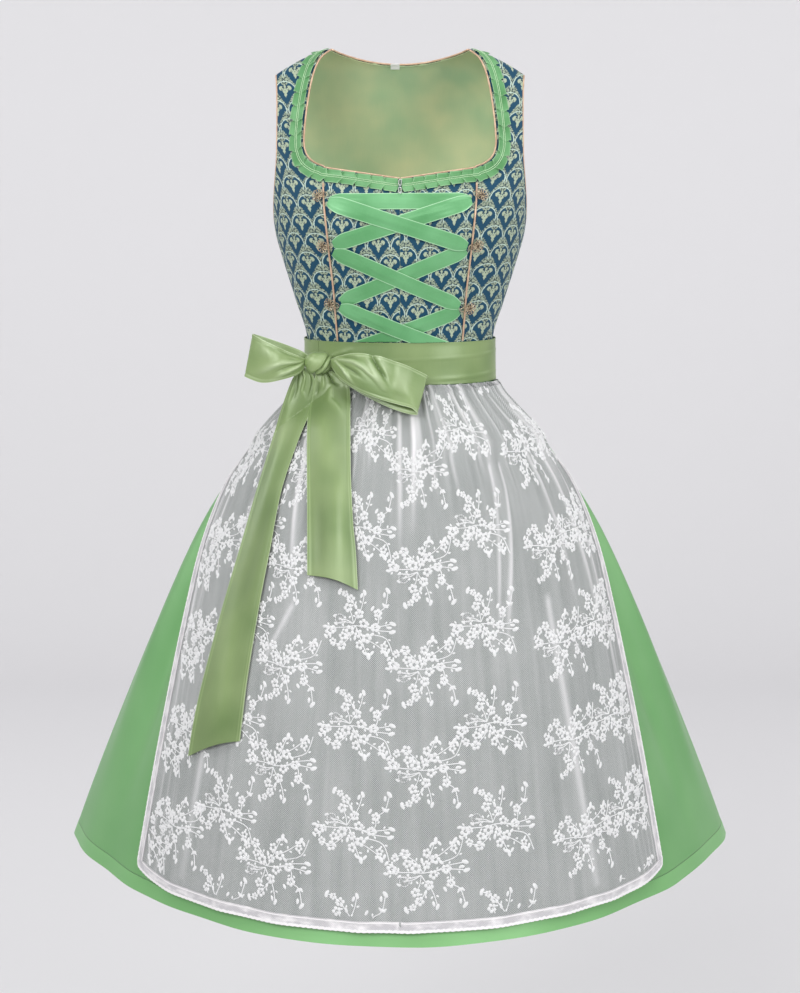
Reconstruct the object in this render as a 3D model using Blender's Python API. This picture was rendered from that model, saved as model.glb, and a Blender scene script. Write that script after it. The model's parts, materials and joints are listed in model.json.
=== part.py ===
# Dirndl dress as it stands when worn: laced bodice, gathered skirt, lace apron, band and bow.
# Metres, +Z up, -Y is the wearer's front, +X the wearer's left.
# The origin lies midway between the two neck points of the shoulder seams, which carry the dress.

import math
from collections import namedtuple

import bmesh
import bpy
import numpy as np
from mathutils import Matrix, Vector

for leftover in list(bpy.data.objects):
    bpy.data.objects.remove(leftover)

# ---------------------------------------------------------------- driving dimensions

FRONT = -1
BACK = 1
SEAM_GAP = 0.0003

BODICE_WALL = 0.0018
BACK_WALL = 0.0014
LINING_WALL = 0.0010
SKIRT_WALL = 0.0012
APRON_WALL = 0.0010
RIBBON_WALL = 0.0008
SATIN_WALL = 0.0012

WAIST = -0.372
BAND_TOP = -0.349
BAND_BOTTOM = -0.399
HEM = -0.985

NECK_HALF_WIDTH = 0.084
BACK_NECK_DROP = 0.0178
CENTRE_NECK_DROP = 0.1565
SHOULDER_START = 0.075
SHOULDER_RUN = 0.077
SHOULDER_DROP = 0.033
SHOULDER_FADE = 0.120

BUST_X = 0.080
BUST_HEIGHT = -0.205
BUST_RISE = 0.012
BUST_SPREAD_X = 0.035
BUST_SPREAD_Z = 0.055

PIPING_RADIUS = 0.0014
PRINCESS_PIPING_HEIGHTS = (-0.1655, -0.173, -0.193, -0.220, -0.250, -0.285, -0.325, -0.3475)
RUCHE_WIDTH = 0.0165
RUCHE_PLEAT = 0.0145
RUCHE_COLUMNS = 4
LACE_RIBBON_WIDTH = 0.0172
LACE_LIFT = 0.0014
LACE_LAYER_RISE = 0.0015
HOOK_RADIUS = 0.0072
HOOK_LIFT = 0.0044
HOOK_THICKNESS = 0.0014
HOOK_PETALS = 6
HOOK_STEPS = 24
HOOK_EYE_STEPS = 6
HOOK_EYE_REACH = 0.0050
LACE_COLUMNS = 9
LACE_PINCH = 0.42
LACE_PINCH_RUN = 0.20
CLOSURE_LOOPS = (("closure_eye", -0.1600), ("closure_hook", -0.1690))
CLOSURE_HALF_WIDTH = 0.0017
CLOSURE_HALF_HEIGHT = 0.0036
CLOSURE_STAND_OFF = 0.0044
CLOSURE_WIRE = 0.0005
CLOSURE_STEPS = 12
LABEL_X = -0.0060
LABEL_HALF_WIDTH = 0.0055
LABEL_TOP = -0.0185
LABEL_BOTTOM = -0.0250
LABEL_WALL = 0.0006

SKIRT_GATHERS = 22
SKIRT_GATHER_RISE = 0.0022
APRON_GATHERS = 24
APRON_GATHER_RISE = 0.0021
GATHER_COLUMNS = 4
COVERED_GATHER_COLUMNS = 2
APRON_LIFT = 0.0068
TAIL_LIFT = 0.0140
TAIL_HANG_Y = -0.0800
EDGING_WIDTH = 0.0105
EDGING_WALL = 0.0012

# Level sections of the bodice, measured to the outside of the cloth.
Torso = namedtuple("Torso", "height half_width front back squareness")
TORSO = (
    Torso(0.000, 0.1600, 0.0005, 0.0005, 2.40),
    Torso(-0.002, 0.1600, 0.0100, 0.0120, 2.40),
    Torso(-0.010, 0.1600, 0.0260, 0.0320, 2.40),
    Torso(-0.022, 0.1600, 0.0380, 0.0480, 2.40),
    Torso(-0.050, 0.1600, 0.0580, 0.0680, 2.40),
    Torso(-0.100, 0.1600, 0.0790, 0.0870, 2.40),
    Torso(-0.150, 0.1580, 0.1010, 0.0980, 2.35),
    Torso(-0.200, 0.1545, 0.1180, 0.1030, 2.25),
    Torso(-0.218, 0.1525, 0.1175, 0.1020, 2.20),
    Torso(-0.254, 0.1430, 0.1110, 0.0970, 2.20),
    Torso(-0.303, 0.1280, 0.0960, 0.0870, 2.20),
    Torso(-0.350, 0.1145, 0.0850, 0.0790, 2.20),
    Torso(-0.400, 0.1125, 0.0830, 0.0770, 2.20),
)

# Rows of the side front and its strap, from the shoulder seam down to the waist.
# inner: neck edge, then the princess seam.  outer: armhole edge, then the side seam (outer_x 0).
# follow: how much of the curved shoulder line the row still repeats.
Row = namedtuple("Row", "inner_x inner_z outer_x outer_z follow centre_back_z")
PANEL_ROWS = (
    Row(0.0840, -0.0010, 0.1490, -0.0310, 1.00, -0.0178),
    Row(0.0870, -0.0032, 0.1488, -0.0330, 1.00, -0.0200),
    Row(0.0960, -0.0110, 0.1478, -0.0420, 0.80, -0.0300),
    Row(0.1030, -0.0250, 0.1472, -0.0560, 0.50, -0.0430),
    Row(0.1080, -0.0440, 0.1468, -0.0730, 0.20, -0.0610),
    Row(0.1115, -0.0660, 0.1468, -0.0920, 0.00, -0.0830),
    Row(0.1145, -0.0920, 0.1470, -0.1120, 0.00, -0.1070),
    Row(0.1155, -0.1130, 0.1476, -0.1320, 0.00, -0.1300),
    Row(0.1135, -0.1240, 0.1484, -0.1480, 0.00, -0.1480),
    Row(0.1085, -0.1325, 0.1492, -0.1620, 0.00, -0.1620),
    Row(0.0995, -0.1390, 0.1502, -0.1760, 0.00, -0.1760),
    Row(0.0895, -0.1437, 0.1510, -0.1900, 0.00, -0.1900),
    Row(0.0893, -0.1570, 0.1514, -0.2040, 0.00, -0.2040),
    Row(0.0888, -0.1730, 0.0000, -0.2150, 0.00, -0.2150),
    Row(0.0872, -0.1930, 0.0000, -0.2290, 0.00, -0.2290),
    Row(0.0846, -0.2200, 0.0000, -0.2480, 0.00, -0.2480),
    Row(0.0818, -0.2500, 0.0000, -0.2700, 0.00, -0.2700),
    Row(0.0784, -0.2850, 0.0000, -0.2960, 0.00, -0.2960),
    Row(0.0758, -0.3250, 0.0000, -0.3270, 0.00, -0.3270),
    Row(0.0741, -0.3500, 0.0000, -0.3500, 0.00, -0.3500),
    Row(0.0730, WAIST, 0.0000, WAIST, 0.00, WAIST),
)
PRINCESS_TOP_ROW = 11
UNDERARM_ROW = 13
SIDE_COLUMNS = 5
CENTRE_COLUMNS = 4
BACK_COLUMNS = 8
BACK_NECK_COLUMN = 3
BACK_ROWS = (0, 1, 2, 3, 4, 5, 7, 9, 11, 12, 13, 15, 17, 18, 19, 20)

# Level sections of the skirt; round_x and round_y are the powers of its plan outline.
Skirt = namedtuple("Skirt", "height half_width front back round_x round_y")
SKIRT = (
    Skirt(-0.3725, 0.1125, 0.083, 0.077, 0.900, 0.920),
    Skirt(-0.4000, 0.1145, 0.085, 0.079, 0.900, 0.925),
    Skirt(-0.4100, 0.1190, 0.090, 0.084, 0.901, 0.935),
    Skirt(-0.4270, 0.1340, 0.105, 0.099, 0.904, 0.968),
    Skirt(-0.4520, 0.1580, 0.129, 0.123, 0.907, 1.021),
    Skirt(-0.5020, 0.1975, 0.168, 0.163, 0.914, 1.109),
    Skirt(-0.5780, 0.2445, 0.215, 0.210, 0.922, 1.214),
    Skirt(-0.6800, 0.2945, 0.265, 0.261, 0.930, 1.325),
    Skirt(-0.8100, 0.3500, 0.321, 0.317, 0.939, 1.449),
    Skirt(-0.9200, 0.3940, 0.365, 0.361, 0.946, 1.547),
    Skirt(HEM, 0.4180, 0.389, 0.385, 0.950, 1.600),
)
SKIRT_ROWS = (-0.3725, -0.398, -0.421, -0.470, -0.560, -0.690, -0.840, HEM)

# Long soft folds: where each starts at the waist and ends at the hem, as a share of the half
# ring from the wearer's left side seam, its half width as a share, and its rise in metres.
Fold = namedtuple("Fold", "top bottom spread rise")
FRONT_FOLDS = (
    Fold(0.050, 0.045, 0.026, 0.0060),
    Fold(0.110, 0.115, 0.024, -0.0050),
    Fold(0.160, 0.180, 0.030, 0.0040),
    Fold(0.840, 0.815, 0.030, 0.0045),
    Fold(0.890, 0.875, 0.026, -0.0060),
    Fold(0.945, 0.945, 0.034, 0.0065),
)
BACK_FOLDS = (
    Fold(0.060, 0.055, 0.034, 0.0070),
    Fold(0.170, 0.150, 0.032, -0.0060),
    Fold(0.270, 0.255, 0.040, 0.0080),
    Fold(0.390, 0.380, 0.036, 0.0060),
    Fold(0.500, 0.505, 0.044, 0.0085),
    Fold(0.620, 0.630, 0.036, 0.0065),
    Fold(0.730, 0.750, 0.040, 0.0080),
    Fold(0.850, 0.860, 0.034, -0.0060),
    Fold(0.940, 0.945, 0.030, 0.0070),
)
APRON_FOLDS = (
    Fold(0.080, 0.060, 0.030, 0.0030),
    Fold(0.200, 0.140, 0.026, 0.0034),
    Fold(0.290, 0.235, 0.024, 0.0030),
    Fold(0.385, 0.355, 0.028, 0.0036),
    Fold(0.500, 0.485, 0.020, 0.0034),
    Fold(0.560, 0.560, 0.020, 0.0034),
    Fold(0.720, 0.690, 0.034, 0.0038),
    Fold(0.810, 0.790, 0.026, 0.0032),
    Fold(0.900, 0.900, 0.028, 0.0030),
)

# Side edges of the apron: half width at each height.
ApronEdge = namedtuple("ApronEdge", "height half_width")
APRON_EDGE = (
    ApronEdge(-0.399, 0.1195),
    ApronEdge(-0.450, 0.1660),
    ApronEdge(-0.483, 0.1880),
    ApronEdge(-0.520, 0.2110),
    ApronEdge(-0.565, 0.2310),
    ApronEdge(-0.610, 0.2450),
    ApronEdge(-0.660, 0.2560),
    ApronEdge(-0.730, 0.2700),
    ApronEdge(-0.800, 0.2830),
    ApronEdge(-0.860, 0.2935),
    ApronEdge(-0.967, 0.3110),
)
APRON_ROWS = (0.0, 0.040, 0.105, 0.210, 0.360, 0.550, 0.770, 1.0)
APRON_TOP = BAND_BOTTOM - SEAM_GAP
APRON_CENTRE_BOTTOM = -0.9670
APRON_CORNER_BOTTOM = -0.9540

# Inner surface of the apron band.
Band = namedtuple("Band", "height half_width front back squareness")
BAND = (
    Band(BAND_TOP, 0.1166, 0.0868, 0.0808, 2.20),
    Band(BAND_BOTTOM, 0.1174, 0.0882, 0.0822, 2.20),
)
BAND_SEGMENTS = 40

# The tied bow sits on the wearer's right front.
KNOT_CENTRE = (-0.0975, -0.0800, -0.3735)
KNOT_RADII = (0.0168, 0.0120, 0.0133)
KNOT_SEGMENTS = 12
KNOT_RINGS = 8

# Sections of each loop, from the knot out along its front and home along its back.
Loop = namedtuple("Loop", "top_x top_y top_z bottom_x bottom_y bottom_z crown")
LOOP_RIGHT = (
    Loop(-0.1150, -0.0830, -0.3680, -0.1155, -0.0830, -0.3775, 0.0000),
    Loop(-0.1220, -0.0900, -0.3645, -0.1240, -0.0910, -0.3890, 0.0030),
    Loop(-0.1440, -0.0975, -0.3550, -0.1500, -0.1000, -0.3945, 0.0050),
    Loop(-0.1630, -0.0940, -0.3440, -0.1720, -0.0970, -0.3930, 0.0035),
    Loop(-0.1740, -0.0830, -0.3370, -0.1845, -0.0850, -0.3870, 0.0000),
    Loop(-0.1650, -0.0700, -0.3395, -0.1730, -0.0720, -0.3880, 0.0030),
    Loop(-0.1440, -0.0640, -0.3470, -0.1480, -0.0660, -0.3870, 0.0030),
    Loop(-0.1240, -0.0650, -0.3560, -0.1245, -0.0660, -0.3780, 0.0010),
    Loop(-0.1150, -0.0720, -0.3650, -0.1152, -0.0720, -0.3720, 0.0000),
)
LOOP_LEFT = (
    Loop(-0.0790, -0.0900, -0.3650, -0.0790, -0.0905, -0.3755, 0.0000),
    Loop(-0.0660, -0.1010, -0.3605, -0.0640, -0.1070, -0.3880, 0.0040),
    Loop(-0.0400, -0.1100, -0.3630, -0.0400, -0.1230, -0.4050, 0.0060),
    Loop(-0.0080, -0.1170, -0.3715, -0.0040, -0.1330, -0.4185, 0.0050),
    Loop(0.0160, -0.1160, -0.3785, 0.0130, -0.1360, -0.4230, 0.0030),
    Loop(0.0330, -0.1090, -0.3860, 0.0210, -0.1350, -0.4290, 0.0000),
    Loop(0.0200, -0.1010, -0.3850, 0.0060, -0.1310, -0.4325, 0.0020),
    Loop(-0.0080, -0.0970, -0.3780, -0.0140, -0.1250, -0.4250, 0.0020),
    Loop(-0.0380, -0.0950, -0.3700, -0.0420, -0.1120, -0.4090, 0.0020),
    Loop(-0.0640, -0.0900, -0.3670, -0.0650, -0.0960, -0.3900, 0.0010),
    Loop(-0.0785, -0.0810, -0.3675, -0.0785, -0.0815, -0.3735, 0.0000),
)

# Rows of each tail between its two selvedges.
Tail = namedtuple("Tail", "right_x right_z left_x left_z crown")
TAIL_LONG = (
    Tail(-0.1110, -0.3865, -0.0995, -0.3885, 0.0000),
    Tail(-0.1300, -0.4000, -0.1030, -0.4000, 0.0040),
    Tail(-0.1390, -0.4230, -0.1090, -0.4280, 0.0060),
    Tail(-0.1520, -0.4620, -0.1225, -0.4680, 0.0060),
    Tail(-0.1680, -0.5200, -0.1384, -0.5175, 0.0050),
    Tail(-0.1850, -0.5780, -0.1504, -0.5760, 0.0040),
    Tail(-0.1990, -0.6200, -0.1560, -0.6120, 0.0030),
    Tail(-0.2130, -0.6700, -0.1640, -0.6600, 0.0020),
    Tail(-0.2300, -0.7380, -0.1735, -0.7200, 0.0010),
    Tail(-0.2375, -0.7770, -0.1784, -0.7540, 0.0005),
    Tail(-0.2440, -0.8160, -0.1812, -0.7865, 0.0000),
)
TAIL_SHORT = (
    Tail(-0.0970, -0.3885, -0.0860, -0.3880, 0.0000),
    Tail(-0.1015, -0.4010, -0.0690, -0.4000, 0.0050),
    Tail(-0.1080, -0.4300, -0.0590, -0.4280, 0.0060),
    Tail(-0.1090, -0.4650, -0.0575, -0.4630, 0.0040),
    Tail(-0.1075, -0.5200, -0.0560, -0.5170, 0.0020),
    Tail(-0.1055, -0.5750, -0.0505, -0.5720, 0.0010),
    Tail(-0.1050, -0.6030, -0.0470, -0.6160, 0.0000),
)

# Lace hooks in pairs, and the ribbon strands that run between them.
Hook = namedtuple("Hook", "x left_z right_z")
HOOKS = (
    Hook(0.0935, -0.1760, -0.1770),
    Hook(0.0885, -0.2320, -0.2325),
    Hook(0.0810, -0.3070, -0.3020),
)
LACE_END = 0.0125
LACE_EXIT_Z = BAND_TOP + 0.0008
Strand = namedtuple("Strand", "name start end layer")


# ---------------------------------------------------------------- shared shape tools

# Smooth reading of a table whose first column is a falling height.
def column_curve(table):
    depth = -np.array([row[0] for row in table])
    value = np.array([row[1:] for row in table])
    step = np.diff(depth)[:, None]
    slope = np.diff(value, axis=0) / step
    inner = np.zeros((len(table) - 2, value.shape[1]))
    same_way = slope[:-1] * slope[1:] > 0
    total = np.where(same_way, slope[:-1] + slope[1:], 1.0)
    inner = np.where(same_way, 2 * slope[:-1] * slope[1:] / total, inner)
    tangent = np.vstack([slope[:1], inner, slope[-1:]])

    def at(height):
        index = int(np.clip(np.searchsorted(depth, -height) - 1, 0, len(step) - 1))
        span = step[index, 0]
        t = float(np.clip((-height - depth[index]) / span, 0, 1))
        start = value[index] * (2 * t**3 - 3 * t**2 + 1)
        start = start + tangent[index] * span * (t**3 - 2 * t**2 + t)
        end = value[index + 1] * (3 * t**2 - 2 * t**3)
        return start + end + tangent[index + 1] * span * (t**3 - t**2)

    return at


# Smooth reading of a table of sections by its row number.
def section_curve(table):
    value = np.array(table)

    def at(row):
        index = int(np.clip(math.floor(row), 0, len(value) - 2))
        t = row - index
        before = value[max(index - 1, 0)]
        here = value[index]
        after = value[index + 1]
        beyond = value[min(index + 2, len(value) - 1)]
        rise_here = (after - before) / 2
        rise_after = (beyond - here) / 2
        start = here * (2 * t**3 - 3 * t**2 + 1) + rise_here * (t**3 - 2 * t**2 + t)
        end = after * (3 * t**2 - 2 * t**3) + rise_after * (t**3 - t**2)
        return start + end

    return at


def blend(start, end, share):
    return start + (end - start) * share


def ease(share):
    share = min(max(share, 0.0), 1.0)
    return share * share * (3 - 2 * share)


def signed_power(value, power):
    return math.copysign(abs(value) ** power, value)


# ---------------------------------------------------------------- objects and materials

dress = bpy.data.collections.new("dirndl_dress")
bpy.context.scene.collection.children.link(dress)


def srgb(red, green, blue):
    channels = []
    for value in (red, green, blue):
        share = value / 255
        channels.append(share / 12.92 if share <= 0.04045 else ((share + 0.055) / 1.055) ** 2.4)
    return (*channels, 1.0)


def make_material(name, colour, roughness, metallic=0.0):
    material = bpy.data.materials.new(name)
    material.use_nodes = True
    shader = material.node_tree.nodes["Principled BSDF"]
    shader.inputs["Base Color"].default_value = colour
    shader.inputs["Roughness"].default_value = roughness
    shader.inputs["Metallic"].default_value = metallic
    material.diffuse_color = colour
    return material


def add_object(name, data, material):
    piece = bpy.data.objects.new(name, data)
    data.materials.append(material)
    dress.objects.link(piece)
    return piece


# A cloth wall: a grid whose place(u, v) gives a point and its outward normal.
# The wall runs from low to high along that normal.
def add_sheet(name, columns, rows, place, low, high, material):
    mesh = bpy.data.meshes.new(name)
    form = bmesh.new()
    bmesh.ops.create_grid(form, x_segments=columns, y_segments=rows, size=1.0)
    close_wall(form, place, low, high)
    return finish_sheet(name, mesh, form, material)


# A closed ring of cloth; u runs once round it.
def add_ring(name, segments, place, low, high, material):
    mesh = bpy.data.meshes.new(name)
    form = bmesh.new()
    bmesh.ops.create_cone(form, cap_ends=False, segments=segments, radius1=1, radius2=1, depth=2)
    for vertex in form.verts:
        turn = math.atan2(vertex.co.y, vertex.co.x) / math.tau % 1.0
        vertex.co = Vector((2 * turn - 1, vertex.co.z, 0))
    close_wall(form, place, low, high)
    return finish_sheet(name, mesh, form, material)


def close_wall(form, place, low, high):
    outer = list(form.verts)
    grown = bmesh.ops.extrude_face_region(form, geom=list(form.faces))
    inner = [item for item in grown["geom"] if isinstance(item, bmesh.types.BMVert)]
    for vertices, lift in ((outer, high), (inner, low)):
        for vertex in vertices:
            u = (vertex.co.x + 1) / 2
            v = (vertex.co.y + 1) / 2
            point, normal = place(u, v)
            vertex.co = Vector(point) + Vector(normal) * lift
    bmesh.ops.recalc_face_normals(form, faces=list(form.faces))
    if form.calc_volume(signed=True) < 0:
        bmesh.ops.reverse_faces(form, faces=list(form.faces))


def finish_sheet(name, mesh, form, material):
    form.to_mesh(mesh)
    form.free()
    mesh.shade_smooth()
    mesh.set_sharp_from_angle(angle=math.radians(50))
    return add_object(name, mesh, material)


# A round cord or piping through a list of points.
def add_tube(name, points, radius, material, closed=False, bevel_resolution=1):
    data = bpy.data.curves.new(name, "CURVE")
    data.dimensions = "3D"
    data.bevel_depth = radius
    data.bevel_resolution = bevel_resolution
    data.use_fill_caps = not closed
    spline = data.splines.new("POLY")
    spline.points.add(len(points) - 1)
    for slot, point in zip(spline.points, points):
        slot.co = (*point, 1.0)
    spline.use_cyclic_u = closed
    spline.use_smooth = True
    return add_object(name, data, material)


# ---------------------------------------------------------------- form of the bodice

torso_at = column_curve(TORSO)


def shoulder_line(x):
    return -SHOULDER_DROP * (max(abs(x) - SHOULDER_START, 0) / SHOULDER_RUN) ** 1.6


# Point of the bodice at a turn from centre front or back (0) to the side seam (a right angle).
def torso_point(side, turn, height):
    squareness = torso_at(height)[3]
    x = x_at(turn, height)
    raised = shoulder_line(x) * (1 - ease((shoulder_line(x) - height) / SHOULDER_FADE))
    _, front, back, _ = torso_at(min(height - raised, 0.0))
    depth = front if side == FRONT else back
    y = depth * signed_power(math.cos(turn), 2 / squareness)
    if side == FRONT:
        across = (abs(x) - BUST_X) / BUST_SPREAD_X
        along = (height - BUST_HEIGHT) / BUST_SPREAD_Z
        y += BUST_RISE * math.exp(-(across**2) - along**2)
    return Vector((x, side * (y + SEAM_GAP / 2), height))


def x_at(turn, height):
    half_width, _, _, squareness = torso_at(height)
    return float(half_width * signed_power(math.sin(turn), 2 / squareness))


def turn_at(x, height):
    half_width, _, _, squareness = torso_at(height)
    return math.asin(min(abs(x) / half_width, 1.0) ** (squareness / 2))


# Point and outward normal of the bodice on the wearer's left half; x is positive there.
def torso_frame(side, turn, height):
    small_turn = 0.002
    small_height = 0.0002
    point = torso_point(side, turn, height)
    behind = torso_point(side, max(turn - small_turn, 0.0), height)
    across = torso_point(side, turn + small_turn, height) - behind
    down = point - torso_point(side, turn, height - small_height)
    normal = across.cross(down).normalized() * (-side)
    if turn > math.pi / 2 - small_turn:
        normal.y = 0
        normal.normalize()
    return point, normal


def front_frame(x, height):
    point, normal = torso_frame(FRONT, turn_at(x, height), height)
    if x < 0:
        return mirror_x(point), mirror_x(normal)
    return point, normal


def mirror_x(vector):
    return Vector((-vector.x, vector.y, vector.z))


# Nearest point of the bodice front to a target in space, on the wearer's left half.
def settle_on_front(target):
    step = 0.0005
    x = target.x
    height = min(target.z, -0.0005)
    for _ in range(8):
        point, _ = front_frame(x, height)
        along_x = (front_frame(x + step, height)[0] - point) / step
        along_z = (point - front_frame(x, height - step)[0]) / step
        away = target - point
        square_x = along_x.dot(along_x)
        square_z = along_z.dot(along_z)
        mixed = along_x.dot(along_z)
        spread = square_x * square_z - mixed * mixed
        x += (away.dot(along_x) * square_z - away.dot(along_z) * mixed) / spread
        height += (away.dot(along_z) * square_x - away.dot(along_x) * mixed) / spread
        x = min(max(x, 0.0003), 0.1500)
        height = min(height, shoulder_line(x) - 0.0003)
    return front_frame(x, height)


# ---------------------------------------------------------------- bodice panels

def outer_turn(row):
    if row.outer_x == 0:
        return math.pi / 2
    return turn_at(row.outer_x, row.outer_z)


def outer_x(row):
    if row.outer_x == 0:
        return float(torso_at(row.outer_z)[0])
    return row.outer_x


# Side front with its strap; share runs from the neck or princess edge to the armhole or side seam.
def side_front_frame(row_index, share):
    row = PANEL_ROWS[row_index]
    turn = blend(turn_at(row.inner_x, row.inner_z), outer_turn(row), share)
    line_inner = row.follow * shoulder_line(row.inner_x)
    line_outer = row.follow * shoulder_line(outer_x(row))
    height = blend(row.inner_z, row.outer_z, share)
    height += row.follow * shoulder_line(x_at(turn, height)) - blend(line_inner, line_outer, share)
    point, normal = torso_frame(FRONT, turn, height)
    if row_index == 0:
        normal.y = 0
        normal.normalize()
    return point, normal


# Centre front from the closing edge (share 0) to the princess seam (share 1).
def centre_front_frame(row_index, share):
    row = PANEL_ROWS[PRINCESS_TOP_ROW + row_index]
    top = PANEL_ROWS[PRINCESS_TOP_ROW].inner_z
    down = (top - row.inner_z) / (top - WAIST)
    centre_z = blend(-CENTRE_NECK_DROP, WAIST, down)
    height = blend(centre_z, row.inner_z, share)
    x = blend(SEAM_GAP / 2, row.inner_x - SEAM_GAP, share)
    return front_frame(x, height)


NECK_SHARE = turn_at(NECK_HALF_WIDTH, 0) / outer_turn(PANEL_ROWS[0])


# The neck and shoulder line along the top of the back.
def back_top(x):
    if abs(x) < NECK_HALF_WIDTH:
        return blend(-BACK_NECK_DROP, shoulder_line(NECK_HALF_WIDTH), (x / NECK_HALF_WIDTH) ** 2)
    return shoulder_line(x)


# Back half from the centre (share 0) to the armhole or side seam (share 1).
def back_frame(row_index, share):
    row = PANEL_ROWS[row_index]
    turn = outer_turn(row) * share
    x_now = x_at(turn, blend(row.centre_back_z, row.outer_z, share))
    share_x = x_now / outer_x(row)
    level = blend(row.centre_back_z, row.outer_z, share_x)
    shape = back_top(x_now) - blend(back_top(0), back_top(outer_x(row)), share_x)
    point, normal = torso_frame(BACK, turn, level + row.follow * shape)
    if row_index == 0 and x_now > NECK_HALF_WIDTH - 0.006:
        normal.y = 0
        normal.normalize()
    return point, normal


def build_front_panels(brocade):
    last_row = len(PANEL_ROWS) - 1
    centre_rows = last_row - PRINCESS_TOP_ROW
    for name, sign in (("left", 1), ("right", -1)):

        def side_place(u, v):
            point, normal = side_front_frame(round(v * last_row), u)
            return flip(point, sign), flip(normal, sign)

        def centre_place(u, v):
            point, normal = centre_front_frame(round(v * centre_rows), u)
            return flip(point, sign), flip(normal, sign)

        side_name = f"bodice_side_front_{name}"
        centre_name = f"bodice_centre_front_{name}"
        add_sheet(side_name, SIDE_COLUMNS, last_row, side_place, -BODICE_WALL, 0, brocade)
        add_sheet(centre_name, CENTRE_COLUMNS, centre_rows, centre_place, -BODICE_WALL, 0, brocade)


def flip(vector, sign):
    return vector if sign > 0 else mirror_x(vector)


# Share of a back row at a column; the third column lies on the neck point of the shoulder.
def back_share(column):
    if column <= BACK_NECK_COLUMN:
        return NECK_SHARE * column / BACK_NECK_COLUMN
    return blend(NECK_SHARE, 1.0, (column - BACK_NECK_COLUMN) / (BACK_COLUMNS - BACK_NECK_COLUMN))


def build_back(brocade, satin):
    last_row = len(BACK_ROWS) - 1

    def place(u, v):
        column = round((2 * u - 1) * BACK_COLUMNS)
        point, normal = back_frame(BACK_ROWS[round(v * last_row)], back_share(abs(column)))
        sign = 1 if column >= 0 else -1
        return flip(point, sign), flip(normal, sign)

    add_sheet("bodice_back", 2 * BACK_COLUMNS, last_row, place, -BACK_WALL, 0, brocade)
    outer = -BACK_WALL - SEAM_GAP
    add_sheet("back_lining", 2 * BACK_COLUMNS, last_row, place, outer - LINING_WALL, outer, satin)


# ---------------------------------------------------------------- piping and ruche

# Moves each edge point off its panel by the piping's radius, level with the middle of the wall.
def piping_path(edge, wall, radius):
    path = []
    for index, (point, normal, inside) in enumerate(edge):
        before = edge[max(index - 1, 0)][0]
        after = edge[min(index + 1, len(edge) - 1)][0]
        along = (after - before).normalized()
        away = along.cross(normal).normalized()
        if away.dot(point - inside) < 0:
            away = -away
        path.append(point + away * (radius + SEAM_GAP) - normal * wall / 2)
    return path


def neck_edge():
    edge = []
    for row_index in range(PRINCESS_TOP_ROW + 1):
        point, normal = side_front_frame(row_index, 0.0)
        edge.append((point, normal, side_front_frame(row_index, 0.3)[0]))
    for step in range(1, CENTRE_COLUMNS + 1):
        share = 1 - step / CENTRE_COLUMNS
        point, normal = centre_front_frame(0, share)
        edge.append((point, normal, centre_front_frame(1, share)[0]))
    return edge


def armhole_edge():
    edge = []
    for row_index in range(UNDERARM_ROW):
        point, normal = side_front_frame(row_index, 1.0)
        edge.append((point, normal, side_front_frame(row_index, 0.7)[0]))
    point, normal = side_front_frame(UNDERARM_ROW, 1.0)
    edge.append((Vector((point.x, 0, point.z)), normal, side_front_frame(UNDERARM_ROW + 1, 1.0)[0]))
    for row_index in [row for row in reversed(BACK_ROWS) if 0 < row < UNDERARM_ROW]:
        point, normal = back_frame(row_index, 1.0)
        edge.append((point, normal, back_frame(row_index, 0.8)[0]))
    return edge


def back_neck_edge():
    half = []
    for column in range(BACK_NECK_COLUMN + 1):
        share = back_share(column)
        point, normal = back_frame(0, share)
        half.append((point, normal, back_frame(1, share)[0]))
    mirrored = [tuple(mirror_x(vector) for vector in spot) for spot in half[:0:-1]]
    return mirrored + half


def build_piping(braid):
    radius = PIPING_RADIUS
    neck = piping_path(neck_edge(), BODICE_WALL, radius)
    neck[0].y = min(neck[0].y, -0.0012)
    neck[-1].x = 0.0008
    armhole = piping_path(armhole_edge(), BODICE_WALL, radius)
    princess = []
    inner_x = [row.inner_x for row in PANEL_ROWS]
    depths = [-row.inner_z for row in PANEL_ROWS]
    for height in PRINCESS_PIPING_HEIGHTS:
        point, normal = front_frame(float(np.interp(-height, depths, inner_x)), height)
        princess.append(point + normal * (radius + 2 * SEAM_GAP))
    for name, sign in (("left", 1), ("right", -1)):
        for place, path in (("neck", neck), ("armhole", armhole), ("princess", princess)):
            points = [flip(point, sign) for point in path]
            add_tube(f"piping_{place}_{name}", points, radius, braid, closed=place == "armhole")
    back = piping_path(back_neck_edge(), BACK_WALL, radius)
    back[0] = back[0].lerp(back[1], 0.05)
    back[-1] = back[-1].lerp(back[-2], 0.05)
    add_tube("piping_neck_back", back, radius, braid)


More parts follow.
